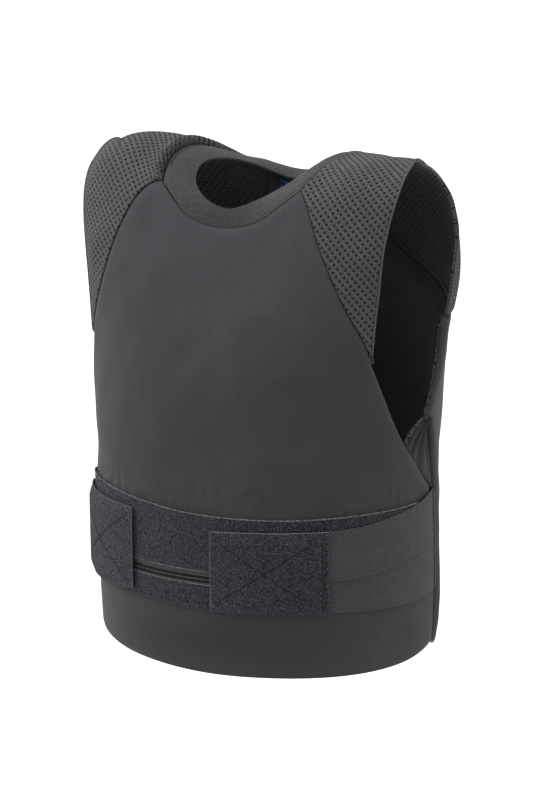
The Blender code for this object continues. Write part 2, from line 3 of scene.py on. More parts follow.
import bpy
import numpy as np
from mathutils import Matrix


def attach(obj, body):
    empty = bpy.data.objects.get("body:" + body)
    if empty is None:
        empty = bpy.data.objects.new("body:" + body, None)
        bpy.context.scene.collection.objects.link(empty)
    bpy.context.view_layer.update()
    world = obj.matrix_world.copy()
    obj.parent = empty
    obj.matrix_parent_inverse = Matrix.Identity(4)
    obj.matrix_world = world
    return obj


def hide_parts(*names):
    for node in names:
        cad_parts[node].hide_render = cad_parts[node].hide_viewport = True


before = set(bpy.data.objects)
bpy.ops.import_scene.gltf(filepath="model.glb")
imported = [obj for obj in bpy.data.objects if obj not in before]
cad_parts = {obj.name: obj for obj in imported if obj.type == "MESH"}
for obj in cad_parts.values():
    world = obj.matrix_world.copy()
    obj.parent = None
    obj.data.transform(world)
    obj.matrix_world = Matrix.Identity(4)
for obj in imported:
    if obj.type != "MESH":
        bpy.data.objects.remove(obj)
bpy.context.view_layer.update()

# Lengths are metres unless a name ends in Mm. Left is the wearer's left, at +X, and the front faces -Y.
# A place in the pattern is (across, run): round the body from its centre line, and down from the shoulder
# line, with run positive in front and negative behind.

# Level rings of the form: height, front depth, back depth, half width, squareness
levels = np.array([
    (-0.585, 0.150, 0.122, 0.188, 2.20), (-0.480, 0.156, 0.125, 0.194, 2.20),
    (-0.380, 0.157, 0.125, 0.195, 2.25), (-0.290, 0.153, 0.123, 0.198, 2.30),
    (-0.210, 0.143, 0.120, 0.203, 2.40), (-0.140, 0.126, 0.114, 0.208, 2.80),
    (-0.080, 0.106, 0.100, 0.213, 3.40), (-0.036, 0.087, 0.078, 0.214, 3.70),
    (-0.010, 0.052, 0.046, 0.213, 3.80),
    (0.000, 0.000, 0.000, 0.212, 3.80),
])
shoulderForm = {
    "lift": 0.008, "liftPlace": -0.145, "liftWidth": 0.035, "liftDepth": 0.050,
    "sag": 0.009, "sagAcross": (0.120, 0.190), "sagAlong": (-0.020, 0.030), "sagDepth": 0.060,
}

# Seams and edges: across, run
necklineFront = ((0.000, 0.141), (0.022, 0.1385), (0.044, 0.131), (0.062, 0.117), (0.077, 0.103),
                 (0.086, 0.093))
necklineSide = ((0.086, 0.093), (0.094, 0.064), (0.098, 0.030), (0.097, 0.000), (0.091, -0.030),
                (0.074, -0.060), (0.048, -0.080))
necklineBack = ((0.048, -0.080), (0.024, -0.088), (0.000, -0.090))
raglanLeft = ((0.086, 0.093), (0.101, 0.118), (0.117, 0.152), (0.134, 0.184), (0.153, 0.219),
              (0.170, 0.246), (0.183, 0.268), (0.1885, 0.284))
raglanRight = ((0.086, 0.093), (0.099, 0.098), (0.116, 0.119), (0.132, 0.152), (0.144, 0.185),
               (0.159, 0.221), (0.178, 0.258), (0.1885, 0.284))
raglanBack = ((0.048, -0.080), (0.051, -0.106), (0.069, -0.138), (0.108, -0.170), (0.160, -0.199),
              (0.208, -0.220), (0.2535, -0.236))
armholeLeft = ((0.1885, 0.284), (0.188, 0.243), (0.189, 0.205), (0.189, 0.163), (0.191, 0.134),
               (0.194, 0.109), (0.195, 0.083), (0.192, 0.049), (0.184, 0.000))
armholeRight = ((0.1885, 0.284), (0.190, 0.243), (0.194, 0.205), (0.199, 0.163), (0.206, 0.134),
                (0.211, 0.109), (0.211, 0.083), (0.203, 0.049), (0.188, 0.000))
armholeBack = ((0.184, 0.000), (0.181, -0.036), (0.187, -0.078), (0.207, -0.112), (0.233, -0.150),
               (0.249, -0.192), (0.2535, -0.236))
diagonalEdge = ((0.289, 0.427), (0.276, 0.416), (0.259, 0.398), (0.238, 0.374), (0.220, 0.346),
                (0.205, 0.317), (0.193, 0.293), (0.1885, 0.284))
sideSeam = np.array([(0.3065, 0.607), (0.308, 0.580), (0.307, 0.553), (0.307, 0.495), (0.301, 0.436),
                     (0.291, 0.391), (0.281, 0.347)])
frontSide = ((0.3078, 0.606), (0.3093, 0.578), (0.3083, 0.553), (0.308, 0.495), (0.3005, 0.455),
             (0.289, 0.427))
backScye = ((0.271, -0.336), (0.261, -0.311), (0.254, -0.278), (0.2535, -0.236))
hemFront = ((-0.3078, 0.590), (-0.240, 0.600), (-0.168, 0.609), (-0.091, 0.619), (0.000, 0.6255),
            (0.092, 0.6245), (0.179, 0.6215), (0.250, 0.616), (0.3078, 0.606))
hemBack = ((0.205, -0.603), (0.180, -0.606), (0.110, -0.610), (0.050, -0.6135), (0.000, -0.614))

# Inner edge of the collar: x, y, z every 30 degrees from the front centre towards the wearer's left
collarEdge = (
    (0.000, -0.086, -0.057), (0.031, -0.079, -0.046), (0.055, -0.056, -0.030), (0.066, -0.022, -0.015),
    (0.060, 0.012, -0.011), (0.036, 0.036, -0.022), (0.000, 0.052, -0.038), (-0.038, 0.034, -0.023),
    (-0.063, 0.012, -0.016), (-0.071, -0.022, -0.019), (-0.060, -0.055, -0.035), (-0.033, -0.078, -0.050),
)

# Loop tape over the belly: across, upper strip's top and bottom, lower strip's top and bottom
belt = np.array([
    (-0.262, 0.440, 0.500, 0.515, 0.538), (-0.200, 0.4325, 0.501, 0.516, 0.542),
    (-0.156, 0.4345, 0.503, 0.518, 0.544), (-0.110, 0.439, 0.506, 0.521, 0.546),
    (-0.067, 0.444, 0.509, 0.524, 0.549), (0.000, 0.450, 0.511, 0.526, 0.553),
    (0.090, 0.450, 0.511, 0.526, 0.551), (0.165, 0.446, 0.508, 0.523, 0.548),
    (0.262, 0.441, 0.503, 0.518, 0.545),
])
# A side strap: across, top of its upper band, bottom of its lower one
strap = np.array([
    (0.120, 0.461, 0.549), (0.147, 0.460, 0.549), (0.181, 0.457, 0.5495), (0.217, 0.450, 0.549),
    (0.262, 0.441, 0.548), (0.300, 0.431, 0.543), (0.310, 0.429, 0.541),
])


# Ease between 0 and 1: 3 v squared minus 2 v cubed, with v held between 0 and 1
def smooth(value):
    value = np.clip(value, 0, 1)
    return value * value * (3 - 2 * value)


def between(value, ends):
    return smooth((value - ends[0]) / (ends[1] - ends[0]))


# A bump of height 1 at 0 that dies out over width: e to the minus square of value over width
def bell(value, width):
    return np.exp(-((value / width) ** 2))


def unit(vectors):
    return vectors / np.linalg.norm(vectors, axis=-1, keepdims=True)


# Length of the way from the first of a row of points to each of them
def runOf(points):
    return np.r_[0, np.cumsum(np.linalg.norm(np.diff(points, axis=0), axis=1))]


# Each column of a table at new places between the known ones
def rowsAt(places, known, rows):
    return np.stack([np.interp(places, known, column) for column in np.asarray(rows).T], -1)


# Cubic through the rows (each segment leans on its neighbours), position counts rows from the first
def splineThrough(rows, position, loop=False):
    rows = np.asarray(rows, float)
    last = len(rows) if loop else len(rows) - 1
    padded = (np.vstack([rows[-1:], rows, rows[:2]]) if loop
              else np.vstack([2 * rows[0] - rows[1], rows, 2 * rows[-1] - rows[-2]]))
    position = np.clip(np.asarray(position, float), 0, last)
    start = np.minimum(position.astype(int), last - 1)
    f = (position - start)[..., None]
    a, b, c, d = (padded[start + k] for k in range(4))
    return 0.5 * (2 * b + (c - a) * f + (2 * a - 5 * b + 4 * c - d) * f**2 + (3 * b - a - 3 * c + d) * f**3)


# Points at fractions of the spline's length
def along(rows, fractions, loop=False):
    dense = np.linspace(0, len(rows) if loop else len(rows) - 1, 60 * len(rows))
    points = splineThrough(rows, dense, loop)
    length = runOf(points)
    return splineThrough(rows, np.interp(np.asarray(fractions) * length[-1], length, dense), loop)


# A ring is a superellipse, |x / half width| ** n + |y / depth| ** n = 1, cut at an angle from the front centre
def ringPoint(step, angle):
    beyond = levels[-2] * np.array([1, -1, -1, 1, 1])
    rings = splineThrough(np.vstack([levels, beyond]), np.clip(step, 0, topStep))
    height, front, back, half, power = np.moveaxis(rings, -1, 0)
    side, ahead = np.sin(angle), np.cos(angle)
    reach = (np.abs(side) ** power + np.abs(ahead) ** power) ** (1 / power)
    x = half * side / reach
    y = -np.where(ahead > 0, front, back) * ahead / reach
    s = shoulderForm
    lift = s["lift"] * bell(height, s["liftDepth"]) * bell(x - s["liftPlace"], s["liftWidth"])
    sag = s["sag"] * bell(height, s["sagDepth"]) * between(np.abs(x), s["sagAcross"])
    sag = sag * between(y, s["sagAlong"])
    return np.stack([x, y, height + lift - sag], -1)


topStep = len(levels) - 1
formSteps = np.linspace(0, topStep, 1201)
formAngles = np.linspace(0, math.pi, 721)
formRings = ringPoint(formSteps[:, None], formAngles[None, :])
ringLengths = np.cumsum(np.linalg.norm(np.diff(formRings, axis=1), axis=2), axis=1)
ringLengths = np.concatenate([np.zeros((len(formSteps), 1)), ringLengths], axis=1)
halfGirth = ringLengths[:, -1]
angleAtShare = np.array([np.interp(formAngles / math.pi * lap[-1], lap, formAngles) for lap in ringLengths])


# Distance down the centre line from the shoulder line, at each of formSteps
def centreLine(column):
    length = runOf(formRings[:, column])
    return length[-1] - length


runFront, runBack = centreLine(0), centreLine(-1)


def stepAt(run):
    return np.where(run >= 0, np.interp(-run, -runFront, formSteps), np.interp(run, -runBack, formSteps))


# Point of the form at a place in the pattern: the ring by run, the angle by its share of the half girth
def onForm(across, run):
    across, run = np.broadcast_arrays(np.asarray(across, float), np.asarray(run, float))
    step = stepAt(run)
    share = np.abs(across) / np.interp(step, formSteps, halfGirth)
    share = np.clip(np.where(run >= 0, share, 1 - share), 0, 1) * (len(formAngles) - 1)
    row = step / topStep * (len(formSteps) - 1)
    i, j = np.minimum(row.astype(int), len(formSteps) - 2), np.minimum(share.astype(int), len(formAngles) - 2)
    u, v = row - i, share - j
    angle = ((1 - u) * (1 - v) * angleAtShare[i, j] + (1 - u) * v * angleAtShare[i, j + 1]
             + u * (1 - v) * angleAtShare[i + 1, j] + u * v * angleAtShare[i + 1, j + 1])
    return ringPoint(step, np.copysign(angle, across))


def normalAt(across, run, reach=0.003):
    sideways = onForm(across + reach, run) - onForm(across - reach, run)
    down = onForm(across, run + reach) - onForm(across, run - reach)
    return unit(np.cross(down, sideways))


# Lifts a grid of the pattern off the form by each of several offsets
def raised(pattern, *offsets):
    across, run = pattern[..., 0], pattern[..., 1]
    base, normal = onForm(across, run), normalAt(across, run)
    made = [base + normal * np.broadcast_to(offset, across.shape)[..., None] for offset in offsets]
    return made if len(made) > 1 else made[0]


def seamAcross(run):
    return np.interp(run, sideSeam[::-1, 1], sideSeam[::-1, 0])


# Front pattern places as the back pattern has them, where across starts from the back centre line
def seenFromBehind(rows):
    across, run = np.asarray(rows).T
    step = stepAt(run)
    fromBack = np.interp(step, formSteps, halfGirth) - across
    return np.stack([fromBack, -np.interp(step, formSteps, runBack)], -1)


# Rows of the left half of the pattern as they lie on one side: sign 1 is left, and -1 is right
def onSide(rows, sign):
    return np.asarray(rows) * np.array([sign, 1])


def mirrored(rows):
    return onSide(rows, -1)


# Coons patch: the two ruled surfaces between opposite edges, less the bilinear one through the corners
def patch(bottom, top, left, right, rise):
    u = runOf(bottom)
    u = (u / u[-1])[None, :, None]
    v = rise[:, None, None]
    corners = (1 - v) * ((1 - u) * bottom[0] + u * bottom[-1]) + v * ((1 - u) * top[0] + u * top[-1])
    return (1 - v) * bottom[None] + v * top[None] + (1 - u) * left[:, None] + u * right[:, None] - corners


# Distance in the pattern from each point of a grid to a line of rows
def distanceTo(pattern, rows, closed=False):
    rows = np.asarray(rows, float)
    start, end = (rows, np.roll(rows, -1, axis=0)) if closed else (rows[:-1], rows[1:])
    points = pattern.reshape(-1, 2)
    nearest = np.full(len(points), 9.0)
    for a, b in zip(start, end):  # one segment at a time, each for all the points
        span = b - a
        share = np.clip(((points - a) @ span) / max(span @ span, 1e-12), 0, 1)
        nearest = np.minimum(nearest, np.linalg.norm(points - a - share[:, None] * span, axis=1))
    return nearest.reshape(pattern.shape[:2])


# Count + 1 shares from 0 to 1, closer together near both ends: the plain share less a sine of it
def crowded(count, pull=0.75):
    share = np.linspace(0, 1, count + 1)
    return share - pull * np.sin(2 * math.pi * share) / (2 * math.pi)


# Band-limited noise: the mean of sine waves of about one length, in seeded directions and phases
def ripple(x, y, length, seed, waves=16):
    chance = np.random.default_rng(seed)
    total = np.zeros(np.broadcast(x, y).shape)
    for turn, phase, size in chance.uniform((0, 0, 0.75), (math.pi, 2 * math.pi, 1.35), (waves, 3)):
        total += np.sin((x * math.cos(turn) + y * math.sin(turn)) * 2 * math.pi / (length * size) + phase)
    return total / math.sqrt(waves / 2)


print("form ready")


# Materials: small helpers, then the shared effects as node groups
def feed(tree, node, inputs):
    for key, value in inputs.items():
        if isinstance(value, bpy.types.NodeSocket):
            tree.links.new(value, node.inputs[key])
        else:
            node.inputs[key].default_value = value
    return node.outputs


def wire(tree, kind, inputs, output=0, **settings):
    node = tree.nodes.new("ShaderNode" + kind)
    for key, value in settings.items():
        setattr(node, key, value)
    return feed(tree, node, inputs)[output]


def calc(tree, operation, a, b=0.0):
    return wire(tree, "Math", {0: a, 1: b}, operation=operation)


def times(tree, a, b):
    return calc(tree, "MULTIPLY", a, b)


def plus(tree, a, b):
    return calc(tree, "ADD", a, b)


def less(tree, a, b):
    return calc(tree, "SUBTRACT", a, b)


def shades(tree, value, low, high, fromHere=0.0, toHere=1.0):
    inputs = {0: value, 1: fromHere, 2: toHere, 3: low, 4: high}
    return wire(tree, "MapRange", inputs, interpolation_type="SMOOTHSTEP")


def dotWith(tree, vector, other):
    return wire(tree, "VectorMath", {0: vector, 1: other}, output=1, operation="DOT_PRODUCT")


def scaled(tree, colour, factor):
    return wire(tree, "VectorMath", {0: colour, 3: factor}, operation="SCALE")


def newGroup(name, inputs, outputs):
    tree = bpy.data.node_groups.new(name, "ShaderNodeTree")
    for way, sockets in (("INPUT", inputs), ("OUTPUT", outputs)):
        for label, kind in sockets.items():
            tree.interface.new_socket(label, in_out=way, socket_type="NodeSocket" + kind)
    return tree, tree.nodes.new("NodeGroupInput").outputs, tree.nodes.new("NodeGroupOutput")


def useGroup(tree, group, inputs):
    node = tree.nodes.new("ShaderNodeGroup")
    node.node_tree = group
    return feed(tree, node, inputs)


fluffForm = {"detail": 3.0, "roughness": 0.65, "contrast": (0.32, 0.68), "darkest": 0.15,
             "broadScale": 22.0, "broadDetail": 2.0}


# Yarn and fluff: noise of two sizes varies the colour, and the fine one is the height
def makeFluff():
    s = fluffForm
    tree, given, taken = newGroup(
        "fluff", {"Colour": "Color", "Size": "Float", "Spread": "Float", "Cloud": "Float"},
        {"Colour": "Color", "Height": "Float"})
    place = wire(tree, "TexCoord", {}, output=3)
    fine = {"Vector": place, "Scale": given["Size"], "Detail": s["detail"], "Roughness": s["roughness"]}
    fine = shades(tree, wire(tree, "TexNoise", fine), 0.0, 1.0, *s["contrast"])
    broad = wire(tree, "TexNoise", {"Vector": place, "Scale": s["broadScale"], "Detail": s["broadDetail"]})
    fineShare = times(tree, less(tree, fine, 0.5), given["Spread"])
    broadShare = times(tree, less(tree, broad, 0.5), given["Cloud"])
    factor = plus(tree, plus(tree, fineShare, broadShare), 1.0)
    factor = calc(tree, "MAXIMUM", factor, s["darkest"])
    feed(tree, taken, {"Colour": scaled(tree, given["Colour"], factor), "Height": fine})
    return tree


# Open mesh on a skewed lattice: holes, and the yarns that run between their rows. The pattern's own places
# come in the UV map, in metres. A hole is 1 inside an ellipse round each lattice point.
meshLattice = {"aMm": (8.6, 0.6), "bMm": (4.0, 4.5), "holeMm": (1.15, 1.55), "softness": 0.40, "rungMm": -2.3}
liningLattice = {"aMm": (4.5, 0.3), "bMm": (2.2, 3.7), "holeMm": (0.85, 1.45), "softness": 0.5, "rungMm": -1.8}
# Where a rung (in mm from its line) and a yarn (in cells from its line) fade
yarnEdges = {"rung": (0.15, 0.85), "yarn": (0.03, 0.24)}


def latticeShares(lattice):
    (ax, ay), (bx, by) = lattice["aMm"], lattice["bMm"]
    area = ax * by - ay * bx
    return (by / area, -bx / area), (-ay / area, ax / area)


def makeLattice(name, lattice):
    tree, given, taken = newGroup(
        name, {"Place": "Vector"}, {"Holes": "Float", "Rungs": "Float", "Yarn": "Float"})
    offsets = []
    for share in latticeShares(lattice):
        place = dotWith(tree, given["Place"], (share[0] * 1000, share[1] * 1000, 0))
        offsets.append(less(tree, place, calc(tree, "ROUND", place)))
    i, j = offsets
    x, y = (plus(tree, times(tree, i, a / hole), times(tree, j, b / hole))
            for a, b, hole in zip(lattice["aMm"], lattice["bMm"], lattice["holeMm"]))
    reach = calc(tree, "SQRT", plus(tree, times(tree, x, x), times(tree, y, y)))
    soft = lattice["softness"]
    rung = calc(tree, "ABSOLUTE", less(tree, times(tree, y, lattice["holeMm"][1]), lattice["rungMm"]))
    aside = calc(tree, "ABSOLUTE", less(tree, calc(tree, "ABSOLUTE", i), 0.5))
    feed(tree, taken, {"Holes": shades(tree, reach, 1.0, 0.0, 1 - soft, 1 + soft),
                       "Rungs": shades(tree, rung, 1.0, 0.0, *yarnEdges["rung"]),
                       "Yarn": shades(tree, aside, 1.0, 0.0, *yarnEdges["yarn"])})
    return tree


# Straight lines over the pattern: half plus half the sine of 2 pi (run + slant across) over the pitch
def makeLines():
    tree, given, taken = newGroup(
        "lines", {"Place": "Vector", "Pitch": "Float", "Slant": "Float"}, {"Lines": "Float"})
    across, run = dotWith(tree, given["Place"], (1, 0, 0)), dotWith(tree, given["Place"], (0, 1, 0))
    level = plus(tree, run, times(tree, across, given["Slant"]))
    turn = calc(tree, "DIVIDE", times(tree, level, 2 * math.pi), given["Pitch"])
    feed(tree, taken, {"Lines": plus(tree, times(tree, calc(tree, "SINE", turn), 0.5), 0.5)})
    return tree


fluffGroup = makeFluff()
latticeGroup = makeLattice("openMesh", meshLattice)
liningGroup = makeLattice("liningMesh", liningLattice)
linesGroup = makeLines()
clothForm = {"underPattern": 0.35, "bump": 0.9, "specular": 0.25, "sheenRoughness": 0.45}


# A cloth: fluff first, then a pattern that shades it and adds to its height, both from patternOf(tree, place).
# Size is the fine noise's scale. Spread and cloud are how far the fine and the broad noise vary the colour.
# Depth is the relief's, in metres.
def cloth(name, colour, size, spread, cloud, roughness, depth, sheen=0.0, patternOf=None, shaded=False):
    s = clothForm
    made = bpy.data.materials.new(name)
    made.use_nodes = True
    tree = made.node_tree
    inputs = {"Colour": (*colour, 1), "Size": size, "Spread": spread, "Cloud": cloud}
    fluff = useGroup(tree, fluffGroup, inputs)
    tint, height = fluff["Colour"], fluff["Height"]
    if patternOf:
        factor, relief = patternOf(tree, wire(tree, "UVMap", {}, uv_map="pattern"))
        tint = scaled(tree, tint, factor)
        height = plus(tree, times(tree, height, s["underPattern"]), relief)
    # A shaded cloth's colour is scaled by its pieces' 'shade' attribute: painted light and shade
    if shaded:
        tint = scaled(tree, tint, wire(tree, "Attribute", {}, output=2, attribute_name="shade"))
    normal = wire(tree, "Bump", {"Height": height, "Distance": depth, "Strength": s["bump"]})
    feed(tree, tree.nodes["Principled BSDF"], {
        "Base Color": tint, "Normal": normal, "Roughness": roughness, "Specular IOR Level": s["specular"],
        "Sheen Weight": sheen, "Sheen Roughness": s["sheenRoughness"]})
    return made


meshTone = {"plain": 0.82, "rung": 0.50, "yarn": 0.30, "yarnHeight": 0.6}


def meshPattern(group, darkest):
    def patternOf(tree, place):
        s, marks = meshTone, useGroup(tree, group, {"Place": place})
        rungs, yarns = times(tree, marks["Rungs"], s["rung"]), times(tree, marks["Yarn"], s["yarn"])
        light = calc(tree, "MAXIMUM", rungs, yarns)
        factor = times(tree, shades(tree, marks["Holes"], 1.0, darkest), plus(tree, light, s["plain"]))
        return factor, less(tree, times(tree, light, s["yarnHeight"]), marks["Holes"])
    return patternOf


def linesAt(tree, place, pitch, slant):
    return useGroup(tree, linesGroup, {"Place": place, "Pitch": pitch, "Slant": slant})["Lines"]


# Painted highlight and shade on the satin label: slanting bands of lighter and darker blue
labelHighlightBands = {"pitch": 0.013, "slant": 0.60, "tones": (0.10, 1.45), "height": 0.6}


def labelHighlightPattern(tree, place):
    s = labelHighlightBands
    lines = linesAt(tree, place, s["pitch"], s["slant"])
    return shades(tree, lines, *s["tones"]), times(tree, lines, s["height"])


ribCount = 230
ribTone = {"place": 0.13, "most": 0.85, "least": 0.10, "ends": (0.03, 0.13), "plain": 0.95, "height": 0.5}


# Rib knit: the place's first part goes once round the neck, so a rib is one turn of a cosine. The ribs show
# most in front on the wearer's left.
def ribPattern(tree, place):
    s = ribTone
    around = dotWith(tree, place, (1, 0, 0))
    wave = times(tree, calc(tree, "COSINE", times(tree, around, 2 * math.pi * ribCount)), 0.5)
    off = calc(tree, "ABSOLUTE", less(tree, around, s["place"]))
    strength = shades(tree, off, s["most"], s["least"], *s["ends"])
    return plus(tree, times(tree, wave, strength), s["plain"]), times(tree, wave, s["height"])


# Twill and ribs: pitch, slant. Change: the distances from the centre line where one gives way to the other.
# Light and lightEnds: painted light on the elastic further round the side, and where it comes in
weave = {"twill": (0.0031, 0.70), "ribs": (0.0023, 0.24), "ribTones": (0.22, 0.78), "change": (0.165, 0.235),
         "ribsLeft": 0.35, "twillShare": 0.65, "tones": (0.66, 1.30), "light": 1.16, "lightEnds": (0.18, 0.28),
         "height": 0.5}


# Woven elastic: fine level ribs beside the tab, and twill lines where it is stretched round the side
def twillPattern(tree, place):
    s = weave
    twill, ribs = linesAt(tree, place, *s["twill"]), linesAt(tree, place, *s["ribs"])
    aside = calc(tree, "ABSOLUTE", dotWith(tree, place, (1, 0, 0)))
    far = shades(tree, aside, 0.0, 1.0, *s["change"])
    near = shades(tree, aside, 1.0, s["ribsLeft"], *s["change"])
    near = times(tree, shades(tree, ribs, *s["ribTones"]), near)
    both = plus(tree, near, times(tree, twill, times(tree, far, s["twillShare"])))
    # Painted light further round the side
    paintedSideLight = shades(tree, aside, 1.0, s["light"], *s["lightEnds"])
    return times(tree, shades(tree, both, *s["tones"]), paintedSideLight), times(tree, both, s["height"])


# Name, colour, size, spread, cloud, roughness, depth, sheen
coverCloth = cloth("coverCloth", (0.060, 0.058, 0.065), 900.0, 0.25, 0.22, 0.80, 0.0001, 0.12, shaded=True)
spacerMesh = cloth("spacerMesh", (0.098, 0.098, 0.104), 700.0, 0.60, 0.30, 0.85, 0.0009, 0.10,
                   meshPattern(latticeGroup, 0.08), shaded=True)
ribKnit = cloth("ribKnit", (0.075, 0.069, 0.076), 800.0, 1.00, 0.30, 0.90, 0.00025, 0.10,
                ribPattern, shaded=True)
# The lining's dark colour is partly its own and partly painted shade for the vest's inside
liningMesh = cloth("liningMesh", (0.040, 0.042, 0.049), 600.0, 0.70, 0.30, 0.90, 0.0006, 0.0,
                   meshPattern(liningGroup, 0.20), shaded=True)
loopTape = cloth("loopTape", (0.039, 0.038, 0.047), 560.0, 2.50, 0.35, 0.95, 0.0012, 0.15)
hookTab = cloth("hookTab", (0.040, 0.039, 0.049), 560.0, 2.50, 0.35, 0.95, 0.0011, 0.20)
# Near-black hook face, its colour partly painted shadow round the tabs; it also paints the belt's gap
hookFace = cloth("hookFace", (0.012, 0.012, 0.014), 900.0, 0.60, 0.20, 0.85, 0.0004)
selvedge = cloth("selvedge", (0.070, 0.070, 0.074), 900.0, 0.45, 0.25, 0.85, 0.0002)
elasticWeave = cloth("elasticWeave", (0.066, 0.065, 0.069), 700.0, 0.70, 0.25, 0.80, 0.0004, 0.05,
                     twillPattern)
bindingCloth = cloth("bindingCloth", (0.110, 0.108, 0.116), 900.0, 0.60, 0.30, 0.85, 0.0003, 0.15)
ruchedCloth = cloth("ruchedCloth", (0.075, 0.074, 0.080), 480.0, 2.40, 0.30, 0.90, 0.0008)
darkThread = cloth("darkThread", (0.018, 0.018, 0.021), 900.0, 0.40, 0.20, 0.80, 0.0001)
paleThread = cloth("paleThread", (0.170, 0.168, 0.175), 900.0, 0.40, 0.20, 0.75, 0.0001)
paleFibre = cloth("paleFibre", (0.135, 0.134, 0.164), 300.0, 1.20, 0.40, 0.80, 0.0001)
labelTape = cloth("labelTape", (0.050, 0.110, 0.620), 900.0, 0.20, 0.10, 0.45, 0.0001, 0.0, labelHighlightPattern)


# One mesh object from points and arrays of faces, with its pattern places as the UV map
def meshObject(name, points, faceSets, finish, places=None, shade=None):
    mesh = bpy.data.meshes.new(name)
    mesh.vertices.add(len(points))
    mesh.vertices.foreach_set("co", np.asarray(points, np.float32).ravel())
    corners = np.concatenate([faces.ravel() for faces in faceSets]).astype(np.int32)
    sizes = np.concatenate([np.full(len(faces), faces.shape[1]) for faces in faceSets])
    mesh.loops.add(len(corners))
    mesh.loops.foreach_set("vertex_index", corners)
    mesh.polygons.add(len(sizes))
    mesh.polygons.foreach_set("loop_start", np.r_[0, np.cumsum(sizes)[:-1]].astype(np.int32))
    if places is not None:
        layer = mesh.uv_layers.new(name="pattern")
        layer.data.foreach_set("uv", np.asarray(places, np.float32)[corners].ravel())
    mesh.update(calc_edges=True)
    mesh.validate()
    mesh.shade_smooth()
    mesh.set_sharp_from_angle(angle=math.radians(65))
    mesh.materials.append(finish)
    if shade is not None:
        layer = mesh.attributes.new("shade", "FLOAT", "POINT")
        layer.data.foreach_set("value", np.asarray(shade, np.float32))
    made = bpy.data.objects.new(name, mesh)
    bpy.context.scene.collection.objects.link(made)
    return made


def dress(piece, slotName, *nodes):
    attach(piece, "root")
    if nodes:
        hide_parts(*nodes)
    return piece


# Returns a sheet as it is
def cutSheet(piece):
    return piece


# Returns a long narrow band, which may bend in the pattern and is 10 mm wide or more, as it is
def cutBand(piece, pattern, held, restsOn, extras=()):
    return piece


def quadsOf(ids, wrap):
    if wrap:
        ids = np.hstack([ids, ids[:, :1]])
    return np.stack([ids[:-1, :-1], ids[:-1, 1:], ids[1:, 1:], ids[1:, :-1]], -1).reshape(-1, 4)


# Strip of triangles from a fine rim to a coarse one with step times fewer points
def rimStrip(fine, coarse, step):
    corner, following = coarse, np.roll(coarse, -1)
    ahead = np.roll(fine, -1)
    strips = []
    for k in range(step):
        third = corner if k < (step + 1) // 2 else following
        strips.append(np.stack([ahead[k::step], fine[k::step], third], -1))
    middle = fine[(step + 1) // 2 % step::step] if step > 1 else ahead
    strips.append(np.stack([middle, corner, following], -1))
    return np.vstack(strips)


def rimIds(ids):
    return np.concatenate([ids[0, :-1], ids[:-1, -1], ids[-1, :0:-1], ids[:0:-1, 0]])


# Closed body between an outer grid and an inner one, of which every step-th point is kept
def shell(name, outer, inner, finish, step=1, loop=False, places=None, shade=None):
    rows, columns = outer.shape[:2]
    ids = np.arange(rows * columns).reshape(rows, columns)
    thin = inner[::step, ::step]
    innerIds = ids.size + np.arange(thin.shape[0] * thin.shape[1]).reshape(thin.shape[:2])
    rims = ([(ids[0], innerIds[0], False), (ids[-1], innerIds[-1], True)] if loop
            else [(rimIds(ids), rimIds(innerIds), False)])
    faces = [quadsOf(ids, loop), quadsOf(innerIds, loop)[:, ::-1]]
    for fine, coarse, turned in rims:
        strip = rimStrip(fine, coarse, step)
        faces.append(strip[:, ::-1] if turned else strip)
    across, up = np.diff(outer, axis=1)[:-1], np.diff(outer, axis=0)[:, :-1]
    if (np.cross(across, up) * (outer - inner)[:-1, :-1]).sum() < 0:
        faces = [part[:, ::-1] for part in faces]
    points = np.vstack([outer.reshape(-1, 3), thin.reshape(-1, 3)])
    if places is not None:
        places = np.vstack([places.reshape(-1, 2), places[::step, ::step].reshape(-1, 2)])
    if shade is not None:
        outside = shade[0] + np.zeros((rows, columns))
        shade = np.r_[outside.ravel(), shade[1][::step, ::step].ravel()]
    return meshObject(name, points, faces, finish, places, shade)


# Rounded edge: how far a face falls back at a distance from the edge, a quarter circle of the given radius
def edgeRound(distance, radius):
    inside = radius - np.clip(distance, 0, radius)
    return radius - np.sqrt(np.maximum(radius**2 - inside**2, 0))


# Round cord along a line: rings of points square to it, flattened against the surface by the flat share
def tubeParts(line, normals, radius, sides=8, flat=1.0):
    ahead = np.gradient(line, axis=0)
    beside = unit(np.cross(ahead, normals))
    above = unit(np.cross(beside, ahead))
    turn = np.linspace(0, 2 * math.pi, sides, endpoint=False)[None, :, None]
    radius = np.broadcast_to(radius, len(line))[:, None, None]
    points = line[:, None] + radius * (np.cos(turn) * beside[:, None] + flat * np.sin(turn) * above[:, None])
    ids = np.arange(len(line) * sides).reshape(len(line), sides)
    faces = quadsOf(ids, True)
    ends = np.stack([ids[0][::-1], ids[-1]])
    if (np.cross(points[0, 1] - points[0, 0], ahead[0]) * (points[0, 0] - line[0])).sum() < 0:
        faces, ends = faces[:, ::-1], ends[:, ::-1]
    return points.reshape(-1, 3), faces, ends


# One more piece beside the nodes, from several parts
def trim(name, parts, finish, slotName):
    points, quads, ends, count = [], [], [], 0
    for part, faces, caps in parts:
        points.append(part)
        quads.append(faces + count)
        ends.append(caps + count)
        count += len(part)
    piece = meshObject(name, np.vstack(points), [np.vstack(quads), np.vstack(ends)], finish)
    dress(piece, slotName)


